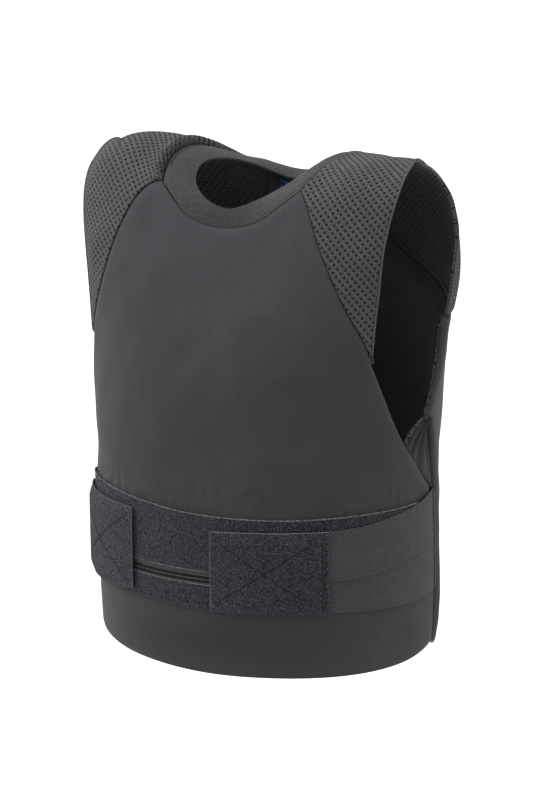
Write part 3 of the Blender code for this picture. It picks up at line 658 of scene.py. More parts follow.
# Many straight pieces at once, each a short spindle of sides x 4 points: centres, directions, lengths, radii
def spindleParts(centres, ways, normals, lengths, radii, sides=5):
    ways = unit(ways)
    beside = unit(np.cross(ways, normals))
    above = np.cross(beside, ways)
    turn = np.linspace(0, 2 * math.pi, sides, endpoint=False)[:, None]
    about = np.cos(turn) * beside[:, None, None] + np.sin(turn) * above[:, None, None]
    rings = np.array([(-0.5, 0.35), (-0.32, 1.0), (0.32, 1.0), (0.5, 0.35)])[None, :, :, None]
    lengths, radii = (np.broadcast_to(part, len(centres))[:, None, None, None] for part in (lengths, radii))
    reach = ways[:, None, None] * (lengths * rings[:, :, :1])
    points = centres[:, None, None] + reach + radii * rings[:, :, 1:] * about
    ids = np.arange(4 * sides).reshape(4, sides)
    one, caps = quadsOf(ids, True), np.stack([ids[0][::-1], ids[-1]])
    ring = points[0, 0]
    if (np.cross(ring[1] - ring[0], ways[0]) * (ring[0] - ring.mean(0))).sum() < 0:
        one, caps = one[:, ::-1], caps[:, ::-1]
    starts = np.arange(len(centres))[:, None, None] * 4 * sides
    return points.reshape(-1, 3), (one[None] + starts).reshape(-1, 4), (caps[None] + starts).reshape(-1, sides)


# A line of the pattern in space: its points at the given offset off the form, and their normals
def lineOff(places, offset):
    return raised(places[None], np.broadcast_to(offset, (1, len(places))))[0], normalAt(*places.T)


# Pattern places from how far across they lie and their runs, either of which may be a single row or column
def placesAt(across, run):
    return np.stack(np.broadcast_arrays(across, run), -1)


# Points at shares of the length of a line of straight runs
def evenly(rows, shares):
    length = runOf(rows)
    return rowsAt(np.asarray(shares) * length[-1], length, rows)


# A row of stitches along a line in space
def stitchParts(line, normals, pitch, length, radius):
    run = runOf(line)
    count = max(int(run[-1] / pitch), 1)
    at = (np.arange(count) + 0.5) * run[-1] / count
    centres, ahead, up = (rowsAt(at, run, rows) for rows in (line, np.gradient(line, axis=0), normals))
    return spindleParts(centres, ahead, up, length, radius)


frayForm = {"ahead": (0.5, 1.2), "aside": 0.45, "off": (-0.1, 0.5), "scatter": 0.0004, "stand": 0.0003,
            "lengths": (0.5, 1.3)}


# Loose fibres about a line, leaning along it and off the surface
def frayParts(line, normals, count, length, radius, seed):
    s, chance = frayForm, np.random.default_rng(seed)
    row = np.sort(chance.uniform(0, len(line) - 1.001, count)).astype(int)
    line, normals, ahead = line[row], normals[row], unit(np.gradient(line, axis=0)[row])
    beside = np.cross(ahead, normals)
    ways = ahead * chance.uniform(*s["ahead"], (count, 1))
    ways = ways + beside * chance.normal(0, s["aside"], (count, 1))
    ways = ways + normals * chance.uniform(*s["off"], (count, 1))
    centres = line + beside * chance.normal(0, s["scatter"], (count, 1)) + normals * s["stand"]
    return spindleParts(centres, ways, normals, length * chance.uniform(*s["lengths"], count), radius, sides=3)


fuzzForm = {"rise": 0.3, "stand": 0.8, "lengths": (0.6, 1.4)}


# Short fibres that lie on a face at random: its points, their count, length and radius
def fuzzParts(face, count, length, radius, seed):
    s, chance = fuzzForm, np.random.default_rng(seed)
    rows, columns = face.shape[:2]
    i, j = chance.uniform(0.02, rows - 2.02, count), chance.uniform(0.02, columns - 2.02, count)
    k, m = i.astype(int), j.astype(int)
    u, v = (i - k)[:, None], (j - m)[:, None]
    corner = face[k, m]
    sideways, down = face[k, m + 1] - corner, face[k + 1, m] - corner
    out = unit(np.cross(down, sideways))
    out *= np.sign((out * corner * (1, 1, 0)).sum(1, keepdims=True))
    turn = chance.uniform(0, math.pi, (count, 1))
    ways = np.cos(turn) * unit(sideways) + np.sin(turn) * unit(down)
    ways = ways + out * chance.uniform(-s["rise"], s["rise"], (count, 1))
    centres = corner + u * down + v * sideways + out * radius * s["stand"]
    return spindleParts(centres, ways, out, length * chance.uniform(*s["lengths"], count), radius, sides=3)


# Shares along an edge that stand closer together at its start only
def startCrowded(count, pull=0.75):
    return crowded(2 * count, pull)[: count + 1] * 2


panelForm = {"pad": 0.010, "edge": 0.0045, "slope": 0.022, "round": 0.0012, "innerRound": 0.0020,
             "gap": 0.0005, "roll": 0.0008, "rollWidth": 0.007,
             "dent": 0.0026, "dentLength": 0.150, "dentReach": 0.05,
             "small": 0.00020, "smallLength": 0.045, "smallReach": 0.02,
             "inside": 0.20, "facing": 0.030, "bulgeReach": 0.040, "bulgeRound": 0.8}
puckerForm = {"height": 0.00045, "pitch": 0.021, "run": 0.428, "reach": 0.016, "turn": 1.6, "turnLength": 0.06,
              "flat": 0.8, "flatRuns": (0.400, 0.440)}
# Painted light and shade, each by an amount and its places. Painted shade: over the belly and above the belt
# on the wearer's right (run, width, ends across), in the middle of the hem (run, widths down and across) and
# at its left corner (ends across and down). Painted highlight: along the turned edge at the armhole
# (distance, width) and the lower part of the back panel's side edge (width, run, fade).
paintedLightAndShade = {"belly": (0.19, 0.39, 0.16, (-0.28, -0.14)), "hem": (0.30, 0.590, 0.032, 0.15),
       "right": (0.13, 0.40, 0.10, (-0.14, -0.20)), "corner": (0.16, (0.21, 0.26), (0.560, 0.585)),
       "edge": (0.60, 0.0012, 0.0010), "side": (0.40, 0.016, 0.36, 0.04)}
# How far the back panel's side edge stands out: run, height
sideBulge = np.array([(-0.600, 0.0028), (-0.588, 0.0038), (-0.573, 0.0054), (-0.545, 0.0062), (-0.521, 0.0052),
                      (-0.485, 0.0036), (-0.448, 0.0034), (-0.400, 0.0034), (-0.320, 0.0028), (-0.290, 0.0038),
                      (-0.260, 0.0048), (-0.236, 0.0050)])


# How the inside of a panel lies below the form, at a distance from the panel's edge
def innerFace(distance):
    s = panelForm
    return -(s["edge"] + (s["pad"] - s["edge"]) * smooth(distance / s["slope"]))


def rimOf(pattern, across, down):
    return np.vstack([pattern[0, ::across], pattern[::down, -1], pattern[-1, ::-across], pattern[::-down, 0]])


# Distance to a line of the pattern or to its mirror image, whichever is nearer
def eitherSide(pattern, rows):
    return np.minimum(distanceTo(pattern, rows), distanceTo(pattern, mirrored(rows)))


# The dents die out above the belt, where puckers run along its edge
def withPuckers(dents, x, y, away, seed):
    s = puckerForm
    wave = np.sin(2 * math.pi * x / s["pitch"] + s["turn"] * ripple(x, y, s["turnLength"], seed))
    puckers = s["height"] * wave * bell(y - s["run"], s["reach"]) * away
    return dents * (1 - s["flat"] * between(y, s["flatRuns"])) + puckers


# Painted shade on the front panel, and a painted highlight along its diagonal edges
def frontPaintedLightAndShade(pattern):
    x, y = pattern[..., 0], pattern[..., 1]
    amount, run, width, ends = paintedLightAndShade["belly"]
    paintedTone = 1 - amount * bell(y - run, width) * between(x, ends)
    amount, run, height, width = paintedLightAndShade["hem"]
    paintedTone = paintedTone - amount * bell(y - run, height) * bell(x, width)
    amount, run, width, ends = paintedLightAndShade["right"]
    paintedTone = paintedTone - amount * bell(y - run, width) * between(x, ends)
    amount, acrossEnds, runEnds = paintedLightAndShade["corner"]
    paintedTone = paintedTone - amount * between(x, acrossEnds) * between(y, runEnds)
    amount, place, width = paintedLightAndShade["edge"]
    return paintedTone + amount * bell(eitherSide(pattern, diagonalEdge) - place, width)


def panelSkin(name, pattern, seed, node, side=None, puckered=False):
    s, rim = panelForm, rimOf(pattern, 6, 4)
    pattern = pulledIn(pattern, s["gap"])
    distance = np.maximum(distanceTo(pattern, rim, closed=True) - s["gap"], 0)
    x, y = pattern[..., 0], pattern[..., 1]
    away = smooth(distance / s["dentReach"])
    dents = -s["dent"] * np.clip(0.5 + 0.5 * ripple(x, y, s["dentLength"], seed), 0, 1.4) * away
    dents += s["small"] * ripple(x, y, s["smallLength"], seed + 1) * smooth(distance / s["smallReach"])
    paintedTone, bulge = 1 + 0 * x, 0 * x
    if puckered:
        dents, paintedTone = withPuckers(dents, x, y, away, seed + 2), frontPaintedLightAndShade(pattern)
    if side is not None:
        # Painted light along the lower part of the back panel's side edge
        amount, width, start, fade = paintedLightAndShade["side"]
        sideDistance = eitherSide(pattern, side)
        bulge = np.interp(y, *sideBulge.T) * (1 - smooth(sideDistance / s["bulgeReach"]))
        paintedTone = paintedTone + amount * (1 - smooth(sideDistance / width)) * smooth((-y - start) / fade)
    fall = edgeRound(distance, s["round"] + s["bulgeRound"] * bulge)
    fall = fall + s["roll"] * (1 - smooth(distance / s["rollWidth"]))
    inside = edgeRound(distance, s["innerRound"]) + innerFace(distance)
    outer, inner = raised(pattern, dents + bulge - fall, inside)
    # The inside is as light as the outside at the rim, with painted shade further in
    shade = (paintedTone, s["inside"] + (paintedTone - s["inside"]) * (1 - smooth(distance / s["facing"])))
    piece = shell(name, outer, inner, coverCloth, step=4, places=pattern, shade=shade)
    dress(piece, "cover_cloth", node)


# The grid with its rim moved in, so that neighbours keep a gap
def pulledIn(pattern, width):
    grid = pattern.copy()
    for rim, inner in ((0, 3), (-1, -4)):
        move = pattern[inner] - pattern[rim]
        grid[rim] += move * (width / np.linalg.norm(move, axis=-1, keepdims=True))
        move = pattern[:, inner] - pattern[:, rim]
        grid[:, rim] += move * (width / np.linalg.norm(move, axis=-1, keepdims=True))
    return grid


def frontPattern(sideCells=92, diagonalCells=76, raglanCells=100, columns=300):
    def edge(raglan, corner):
        side = np.array(frontSide)
        side[0] = corner
        return np.vstack([
            along(side, startCrowded(sideCells))[:-1],
            along(diagonalEdge, np.linspace(0, 1, diagonalCells + 1))[:-1],
            along(raglan, np.linspace(1, 0, raglanCells + 1)),
        ])

    left, right = mirrored(edge(raglanRight, mirrored(hemFront[0]))), edge(raglanLeft, hemFront[-1])
    neck = np.vstack([mirrored(necklineFront)[:0:-1], necklineFront])
    height = (left[:, 1] + right[:, 1]) / 2
    rise = (height[0] - height) / (height[0] - height[-1])
    share = crowded(columns)
    return patch(along(hemFront, share), along(neck, share), left, right, rise)


panelSkin("frontPanel", frontPattern(), 11, "front_panel", puckered=True)
print("front panel")

backSide = seenFromBehind(sideSeam)
halfHem = np.vstack([backSide[:1], hemBack])
backHem = np.vstack([mirrored(halfHem)[:-1], halfHem[::-1]])
backNeck = np.vstack([mirrored(necklineBack)[:-1], necklineBack[::-1]])


# How far up an edge each of its rows lies, from 0 to 1
def riseOf(edge):
    return (edge[:, 1] - edge[0, 1]) / (edge[-1, 1] - edge[0, 1])


def backPattern(sideCells=92, scyeCells=32, raglanCells=100, columns=280):
    edge = np.vstack([
        along(backSide, startCrowded(sideCells))[:-1],
        along(backScye, np.linspace(0, 1, scyeCells + 1))[:-1],
        along(raglanBack, np.linspace(1, 0, raglanCells + 1)),
    ])
    share = crowded(columns)
    return patch(along(backHem, share), along(backNeck, share), mirrored(edge), edge, riseOf(edge))


panelSkin("backPanel", backPattern(), 31, "back_panel", side=np.vstack([backSide, backScye]))
print("back panel")

meshForm = {"thick": 0.0040, "round": 0.0018, "tip": 0.035, "outerTip": 0.025, "besideFront": 0.72,
            "besideBack": 0.30, "cells": 22, "columns": 120,
            "dimple": 0.0006, "dimpleMm": 1.7, "dimpleEdge": 0.003,
            "inside": (0.52, 0.17), "insideRuns": (-0.08, -0.18), "facing": 0.010,
            "creaseWidth": 0.0026, "creaseTurn": 0.577, "creaseReach": 0.030,
            "slump": 0.0012, "slumpLength": 0.085, "slumpReach": 0.03, "settle": 0.016}
# Beside the collar: gathers, a lip, a dip of the edge, painted shade in a ditch, and the crowding of the mesh
collarSide = {"pitch": 0.0042, "reach": 0.014, "turn": 0.9, "turnLength": 0.03, "lipPlace": 0.0060,
              "lipWidth": 0.0050, "lipLeast": 0.3, "lipRun": 0.088, "lipFade": 0.04, "dipWidth": 0.005,
              "dipRuns": (0.085, 0.055), "ditchWidth": 0.0034, "ditchWave": 0.38, "ditchRun": 0.092,
              "ditchFade": 0.02, "squeezeReach": 0.014, "squeezeFrom": (0, 0.02)}
foldForm = {"stand": 0.0002, "radius": 0.0009, "flat": 0.6, "rungRows": (8, 88), "rungStand": 0.0005,
            "rungLength": 0.0030, "rungRadius": 0.00035}
# Of each strap: how strongly the mesh gathers beside the collar, the lip's height there, how far its edge
# dips, how dark the painted shade in its ditch is, how far the mesh is crowded, a crease over the shoulder
# (across, run, depth), and two swellings (across, run, height, widths across and along the run)
strapLook = {
    "left": {"gather": 0.0003, "lip": 0.0008, "dip": 0.0, "ditchShade": 0.25, "squeeze": 0.0,
             "crease": (0.176, 0.010, 0.0008),
             "swell": ((0.238, -0.206, 0.0056, 0.034, 0.038), (0.210, -0.118, -0.0040, 0.030, 0.030))},
    "right": {"gather": 0.0012, "lip": 0.0042, "dip": 0.0036, "ditchShade": 0.75, "squeeze": 0.010,
              "crease": (0.1726, 0.033, 0.0066),
              "swell": ((0.160, 0.028, 0.0042, 0.055, 0.060), (0.203, 0.058, -0.0055, 0.020, 0.045))},
}


# Where each place lies from its nearest lattice point, in mm: the same sum as in the node group
def fromLatticePoint(pattern, lattice):
    offsets = []
    for share in latticeShares(lattice):
        place = (pattern * 1000) @ np.array(share)
        offsets.append(place - np.round(place))
    i, j = offsets
    (ax, ay), (bx, by) = lattice["aMm"], lattice["bMm"]
    return i * ax + j * bx, i * ay + j * by


# A strap's places, from the collar's seam to the armhole, and the line that starts them
def strapPattern(raglan, armhole, sign):
    s, k = meshForm, meshForm["cells"]
    downRaglan = np.minimum(np.linspace(0, 1, 8 * k + 1), 1 - s["tip"])
    downRaglan[7 * k:] = np.linspace(downRaglan[7 * k], 1 - s["tip"], k + 1)
    inner = np.vstack([
        along(raglan, downRaglan[::-1])[:-1],
        along(necklineSide, np.linspace(0, 1, 12 * k + 1))[:-1],
        along(raglanBack, downRaglan),
    ])
    behind = np.vstack([armhole[-1], armholeBack[1:]])
    upFront = np.linspace(0, s["besideFront"], 8 * k + 1)
    downBack = np.linspace(s["besideBack"], 1, 8 * k + 1)
    upFront[:k + 1] = np.linspace(s["outerTip"], upFront[k], k + 1)
    downBack[-k - 1:] = np.linspace(downBack[-k - 1], 1 - s["outerTip"], k + 1)
    outer = np.vstack([
        along(armhole, upFront)[:-1],
        along(armhole, np.linspace(s["besideFront"], 1, 6 * k + 1))[:-1],
        along(behind, np.linspace(0, s["besideBack"], 6 * k + 1))[:-1],
        along(behind, downBack),
    ])
    share = crowded(s["columns"])[None, :, None]
    pattern = pulledIn((1 - share) * inner[:, None] + share * outer[:, None], panelForm["gap"])
    return onSide(pattern, sign), inner


# Folded edge along the armhole, with overlock rungs across it below the shoulder
def armholeFold(side, pattern, relief):
    s = foldForm
    line, normals = lineOff(pattern[4:-4:2, -4], relief[4:-4:2, -4] + s["stand"])
    fold = [tubeParts(line, normals, s["radius"], flat=s["flat"])]
    trim(f"armholeFold.{side}", fold, bindingCloth, "spacer_mesh")
    row = np.arange(*s["rungRows"])
    beside = np.cross(np.gradient(line, axis=0), normals)[row]
    centres = line[row] + normals[row] * s["rungStand"]
    rungs = [spindleParts(centres, beside, normals[row], s["rungLength"], s["rungRadius"])]
    trim(f"overlock.{side}", rungs, paleThread, "spacer_mesh")


def shoulderMesh(side, raglan, armhole, sign):
    s, c, look = meshForm, collarSide, strapLook[side]
    pattern, start = strapPattern(raglan, np.array(armhole), sign)
    rim = np.vstack([pattern[::5, 0], pattern[-1, ::6], pattern[::-5, -1], pattern[0, ::-6]])
    distance = distanceTo(pattern, rim, closed=True)
    fall = edgeRound(distance, s["round"])
    dimple = s["dimple"] * bell(np.hypot(*fromLatticePoint(pattern, meshLattice)), s["dimpleMm"])
    dimple = dimple * smooth((distance - s["dimpleEdge"]) / s["dimpleEdge"])
    x, run = pattern[..., 0], pattern[..., 1]
    across = np.abs(x)
    neckDistance = distanceTo(pattern, onSide(along(necklineSide, np.linspace(0, 1, 60)), sign))
    turn = c["turn"] * ripple(x, run, c["turnLength"], 81)
    wave = np.sin(2 * math.pi * runOf(start)[:, None] / c["pitch"] + turn)
    gathers = look["gather"] * wave * bell(neckDistance, c["reach"])
    lip = look["lip"] * bell(neckDistance - c["lipPlace"], c["lipWidth"])
    lip = lip * (c["lipLeast"] + (1 - c["lipLeast"]) * smooth((c["lipRun"] - run) / c["lipFade"]))
    lip = lip - look["dip"] * bell(neckDistance, c["dipWidth"]) * between(run, c["dipRuns"])
    # The crease lies along the line of sight: its distance is across less a line that leans with the run
    creaseAcross, creaseRun, creaseDepth = look["crease"]
    off = np.abs(across - creaseAcross + s["creaseTurn"] * (run - creaseRun))
    crease = creaseDepth * np.exp(-off / s["creaseWidth"]) * bell(run - creaseRun, s["creaseReach"])
    slump = s["slump"] * ripple(x, run, s["slumpLength"], 91) * smooth(distance / s["slumpReach"])
    swell = sum(h * bell(across - a, wide) * bell(run - r, long) for a, r, h, wide, long in look["swell"])
    # Gathers and lip die out at the back panel's seam
    settled = smooth(distanceTo(pattern, onSide(raglanBack, sign)) / s["settle"])
    relief = (gathers + lip) * settled - crease + slump + swell
    outer, inner = raised(pattern, relief - fall - dimple, relief + fall - s["thick"])
    # The hem is turned in at the armhole: the inside is as light as the outside there. Further in it has
    # painted shade, lighter above and darker further down the back
    armDistance = distanceTo(pattern, pattern[::5, -1])
    top, low = s["inside"]
    inside = top + (low - top) * between(run, s["insideRuns"])
    inside = inside + (1 - inside) * (1 - smooth(armDistance / s["facing"]))
    # Painted shade in the ditch beside the collar, uneven with the gathers
    uneven = 1 - c["ditchWave"] + c["ditchWave"] * wave
    ditchShade = look["ditchShade"] * bell(neckDistance, c["ditchWidth"]) * uneven
    ditchShade = ditchShade * smooth((c["ditchRun"] - run) / c["ditchFade"])
    # The mesh is crowded beside the collar: its places are drawn from further off, the nearer the more
    squeeze = look["squeeze"] * np.exp(-neckDistance / c["squeezeReach"])
    places = pattern - unit(pattern - c["squeezeFrom"]) * squeeze[..., None]
    shade = (1 - ditchShade, inside)
    piece = shell(f"shoulderMesh.{side}", outer, inner, spacerMesh, step=4, places=places, shade=shade)
    dress(piece, "spacer_mesh", f"shoulder_mesh_{side}")
    cutSheet(piece)
    armholeFold(side, pattern, relief)


shoulderMesh("left", raglanLeft, armholeLeft, 1)
shoulderMesh("right", raglanRight, armholeRight, -1)
print("shoulder mesh")

tapeInside = {"half": 0.0052, "halfBack": 0.0034, "depth": 0.0044, "thick": 0.0005, "points": 240}
# Painted light and shade on the tape under the collar's seam, how light it is at each share of the way round
# from the front, by the wearer's left
neckTapeShade = np.array([(0.00, 0.90), (0.14, 0.90), (0.20, 0.60), (0.42, 0.60), (0.50, 0.90), (0.57, 0.70),
                          (0.61, 0.15), (0.90, 0.15), (0.95, 0.80), (1.00, 0.90)])
# Painted shade on the raglan tapes along their length: slight in front, and behind as dark as the lining
plainShade = {"front": ((0, 0.8), (1, 0.8)), "back": ((0, 0.30), (0.4, 0.22), (1, 0.20))}


# Band along a line of the pattern, half its width to each side
def ribbonPattern(rows, half, points, columns=7, loop=False):
    line = along(rows, np.linspace(0, 1, points, endpoint=not loop), loop)
    ahead = np.roll(line, -1, axis=0) - np.roll(line, 1, axis=0) if loop else np.gradient(line, axis=0)
    beside = unit(ahead)[:, ::-1] * (1, -1)
    return line[None] + beside[None] * (np.linspace(-half, half, columns)[:, None, None])


def insideTape(name, rows, shadeTable, restsOn, loop=False, half="half"):
    s = tapeInside
    pattern = ribbonPattern(rows, s[half], s["points"], loop=loop)
    face = np.full(pattern.shape[:2], -s["depth"])
    outer, inner = raised(pattern, face, face - s["thick"])
    shade = np.interp(np.linspace(0, 1, s["points"]), *np.transpose(shadeTable)) + 0 * face
    piece = dress(shell(name, outer, inner, coverCloth, loop=loop, shade=(shade, shade)), "cover_cloth")
    return cutBand(piece, pattern, "laid", restsOn)


neckHalf = np.vstack([necklineFront[:-1], necklineSide[:-1], necklineBack])
neckRows = np.vstack([neckHalf, mirrored(neckHalf)[-2:0:-1]])
insideTape("seamTape.neck", neckRows, neckTapeShade, ["front_panel", "back_panel"], loop=True)
insideTape("seamTape.frontLeft", raglanLeft, plainShade["front"], ["front_panel"])
insideTape("seamTape.frontRight", mirrored(raglanRight), plainShade["front"], ["front_panel"])
insideTape("seamTape.backLeft", raglanBack, plainShade["back"], ["back_panel"], half="halfBack")
insideTape("seamTape.backRight", mirrored(raglanBack), plainShade["back"], ["back_panel"], half="halfBack")

# The ribs are strongest in front on the wearer's left: at a share of the way round, least, more there, width.
# The seam's edge lies low on the wearer's right, between two pairs of shares. Front: how dark the painted
# shade in front is, how wide. Inside: painted shade on the inner face, which fades out within insideReach
# of the free edge.
ribForm = {"thick": 0.0030, "sink": 0.0005, "bend": 0.36, "ribs": ribCount, "perRib": 6, "rows": 44,
           "ridge": 0.00030, "round": 0.0012, "ridgeEdge": 0.003, "strength": (0.14, 0.45, 0.75, 0.11),
           "dip": 0.0038, "dipStarts": (0.565, 0.61), "dipEnds": (0.86, 0.81),
           "front": (0.46, 0.075), "inside": 0.60, "insideReach": 0.012}
# How high the collar arches between its seam and its free edge, in mm: share round the neck, height
collarCrownMm = np.array([(0.00, 0), (0.38, 0), (0.44, 2.2), (0.50, 2.4), (0.54, 3.2), (0.58, 3.0),
                          (0.63, 0.8), (0.70, 0), (1.00, 0)])
# How far the collar stops short of the seam line, in mm (less than 0 laps over it): share round the neck, gap
collarGapMm = np.array([(0.00, -1.3), (0.12, -1.0), (0.154, 0.1), (0.30, 0.4), (0.50, 0.4), (0.57, 0.8),
                        (0.61, 1.3), (0.84, 1.2), (0.89, 0.8), (0.94, -0.6), (1.00, -1.3)])


# The collar from its seam to its free edge: a grid of points, the normals at the seam, and the shares round
# and inwards
def collarGrid():
    s = ribForm
    around = np.linspace(0, 1, s["ribs"] * s["perRib"], endpoint=False)
    seam = along(neckRows, around, loop=True)
    seamPoints, seamNormal = onForm(*seam.T), normalAt(*seam.T)
    edgePoints = along(collarEdge, around, loop=True)
    inward = edgePoints - seamPoints
    flat = unit(inward - (inward * seamNormal).sum(-1, keepdims=True) * seamNormal)
    start = seamPoints + flat * np.interp(around, *collarGapMm.T)[:, None] / 1000
    dip = s["dip"] * between(around, s["dipStarts"]) * between(around, s["dipEnds"])
    start = start - seamNormal * dip[:, None]
    bend = start + flat * s["bend"] * np.linalg.norm(inward, axis=-1, keepdims=True)
    # A quadratic curve from the seam, by way of the bend, to the free edge
    t = crowded(s["rows"])[:, None, None]
    grid = (1 - t) ** 2 * start + 2 * t * (1 - t) * bend + t**2 * edgePoints
    return grid, seamNormal, placesAt(around[None, :], t[..., 0])


def neckRib():
    s = ribForm
    grid, seamNormal, places = collarGrid()
    roundNeck = np.roll(grid, -1, axis=1) - np.roll(grid, 1, axis=1)
    normal = unit(np.cross(roundNeck, np.gradient(grid, axis=0)))
    normal *= np.sign((normal[0] * seamNormal).sum())
    length = np.cumsum(np.linalg.norm(np.diff(grid, axis=0, prepend=grid[:1]), axis=-1), axis=0)
    freeEdge = length[-1] - length
    distance = np.minimum(length, freeEdge)
    fall = edgeRound(distance, s["round"])
    around, inwards = places[..., 0], places[..., 1]
    place, least, more, width = s["strength"]
    strength = least + more * bell(np.abs(around - place), width)
    ridge = s["ridge"] * strength * np.cos(2 * math.pi * s["ribs"] * around)
    ridge = ridge * smooth(distance / s["ridgeEdge"])
    crown = np.interp(around, *collarCrownMm.T) / 1000 * np.sin(math.pi * inwards)
    outer = grid - normal * (s["sink"] + fall - ridge - crown)[..., None]
    inner = grid - normal * (s["sink"] + s["thick"] - fall - crown)[..., None]
    # Painted shade in front, and on the inner face away from the free edge
    dark, width = s["front"]
    front = 1 - dark * bell(np.minimum(around, 1 - around), width)
    inside = s["inside"] + (1 - s["inside"]) * (1 - smooth(freeEdge / s["insideReach"]))
    piece = shell("neckRib", outer, inner, ribKnit, step=2, loop=True, places=places, shade=(front, inside))
    dress(piece, "rib_knit", "neck_rib")


neckRib()
print("collar")

# Under the gussets the lining's edge lies further in, below a run and over a fade
liningForm = {"gap": 0.0027, "rimGap": 0.0006, "settle": 0.016, "thick": 0.0018, "inset": 0.005,
              "lead": 0.005, "wingInset": 0.020, "wingFrom": 0.30, "wingFade": 0.04,
              "cells": 160, "crowding": 1.7,
              "shade": (0.36, 0.98), "lightPlace": (0, -0.10), "lightReach": 0.12}
panelSide = np.vstack([backSide[:-1], backScye[:-1], raglanBack[::-1]])
liningPanel = np.vstack([backHem, panelSide, mirrored(panelSide)[::-1]])


# The lining settles from its rim, close to the panel, to its usual gap
def liningFace(pattern):
    s = liningForm
    distance = distanceTo(pattern, liningPanel, closed=True)
    settled = smooth((distance - s["inset"]) / s["settle"])
    return innerFace(distance + s["lead"] * settled) - (s["rimGap"] + (s["gap"] - s["rimGap"]) * settled)


def backLining():
    s = liningForm
    columns = crowded(s["cells"], 0.5)
    edge = along(panelSide, 1 - np.linspace(1, 0, s["cells"] + 1) ** s["crowding"])
    edge[:, 0] -= s["inset"] + s["wingInset"] * smooth((-edge[:, 1] - s["wingFrom"]) / s["wingFade"])
    hem, neck = along(backHem, columns), along(backNeck, columns)
    hem = hem * (edge[0, 0] / hem[-1, 0], 1) + (0, s["inset"])
    neck = neck * (edge[-1, 0] / neck[-1, 0], 1) - (0, s["inset"])
    edge[0], edge[-1] = hem[-1], neck[-1]
    pattern = patch(hem, neck, mirrored(edge), edge, riseOf(edge))
    face = liningFace(pattern)
    outer, inner = raised(pattern, face, face - s["thick"])
    # Painted shade on the lining, least just below the back of the neck and deepest further off
    low, high = s["shade"]
    shade = low + (high - low) * bell(np.linalg.norm(pattern - s["lightPlace"], axis=-1), s["lightReach"])
    piece = shell("backLining", inner, outer, liningMesh, step=2, places=pattern, shade=(shade, shade))
    dress(piece, "lining_mesh", "back_lining")
    cutSheet(piece)


backLining()
print("lining")

wingForm = {"thick": 0.0025, "gap": 0.0020, "sewnGap": 0.0016, "sewnReach": 0.010, "lap": 0.014,
            "reach": 0.100, "top": 0.349, "bottom": 0.520, "slant": 0.85,
            "folds": 5, "fold": 0.0080, "foldStart": 0.008,
            "foldReach": 0.090, "seamReach": 0.004, "valleyShade": 0.85, "inside": 0.3,
            "rise": 0.0052, "riseReach": (-0.0015, 0.0020), "risePast": (0.001, 0.008)}
# Ruched binding, its gathers as an uneven cord's swellings. It starts up the scye, inset from its edge.
ruchedForm = {"radius": 0.0023, "least": 0.0002, "flat": 0.7, "pitch": 0.0019, "rows": 70, "points": 900,
              "from": 0.0015, "sink": 0.0004, "up": -0.240, "down": 0.002, "inset": 0.0010,
              "stands": (-0.0048, -0.0030), "noise": 0.011, "turn": 1.2, "sway": 0.0003,
              "wave": 0.16, "uneven": 0.14, "slim": 0.40, "slimTo": 0.62, "taper": 0.02}


# Down the back panel's edge and along the wing's free top, whose places and height are given
def ruchedEdge(side, sign, edge, height):
    s = ruchedForm
    scye = np.array(backScye)
    up = np.linspace(s["up"], scye[0, 1] + s["down"], 60)
    above = np.stack([sign * (np.interp(up, scye[:, 1], scye[:, 0]) - s["inset"]), up], -1)
    parts = lineOff(above, np.linspace(*s["stands"], 60)), lineOff(edge, height - s["sink"])
    corner, turned = (np.vstack(both) for both in zip(*parts))
    length, share = runOf(corner), np.linspace(0, 1, s["points"])
    run = share * length[-1]
    line, normals = rowsAt(run, length, corner), rowsAt(run, length, turned)
    noise = ripple(run, run * 0 + 0.3 * sign, s["noise"], 95)
    turn = 2 * math.pi * run / s["pitch"]
    line = line + normals * (s["sway"] * noise)[:, None]
    line = line + unit(np.cross(np.gradient(line, axis=0), normals)) * (s["sway"] * np.cos(turn))[:, None]
    slimmer = s["slim"] + (1 - s["slim"]) * smooth(share / s["slimTo"])
    slimmer = slimmer * smooth(share / s["taper"]) * smooth((1 - share) / s["taper"])
    swelling = 1 + s["wave"] * np.sin(turn + s["turn"] * noise) + s["uneven"] * noise
    cord = tubeParts(line, normals, s["radius"] * swelling * slimmer + s["least"], sides=10, flat=s["flat"])
    trim(f"ruchedEdge.{side}", [cord], ruchedCloth, "cover_cloth")


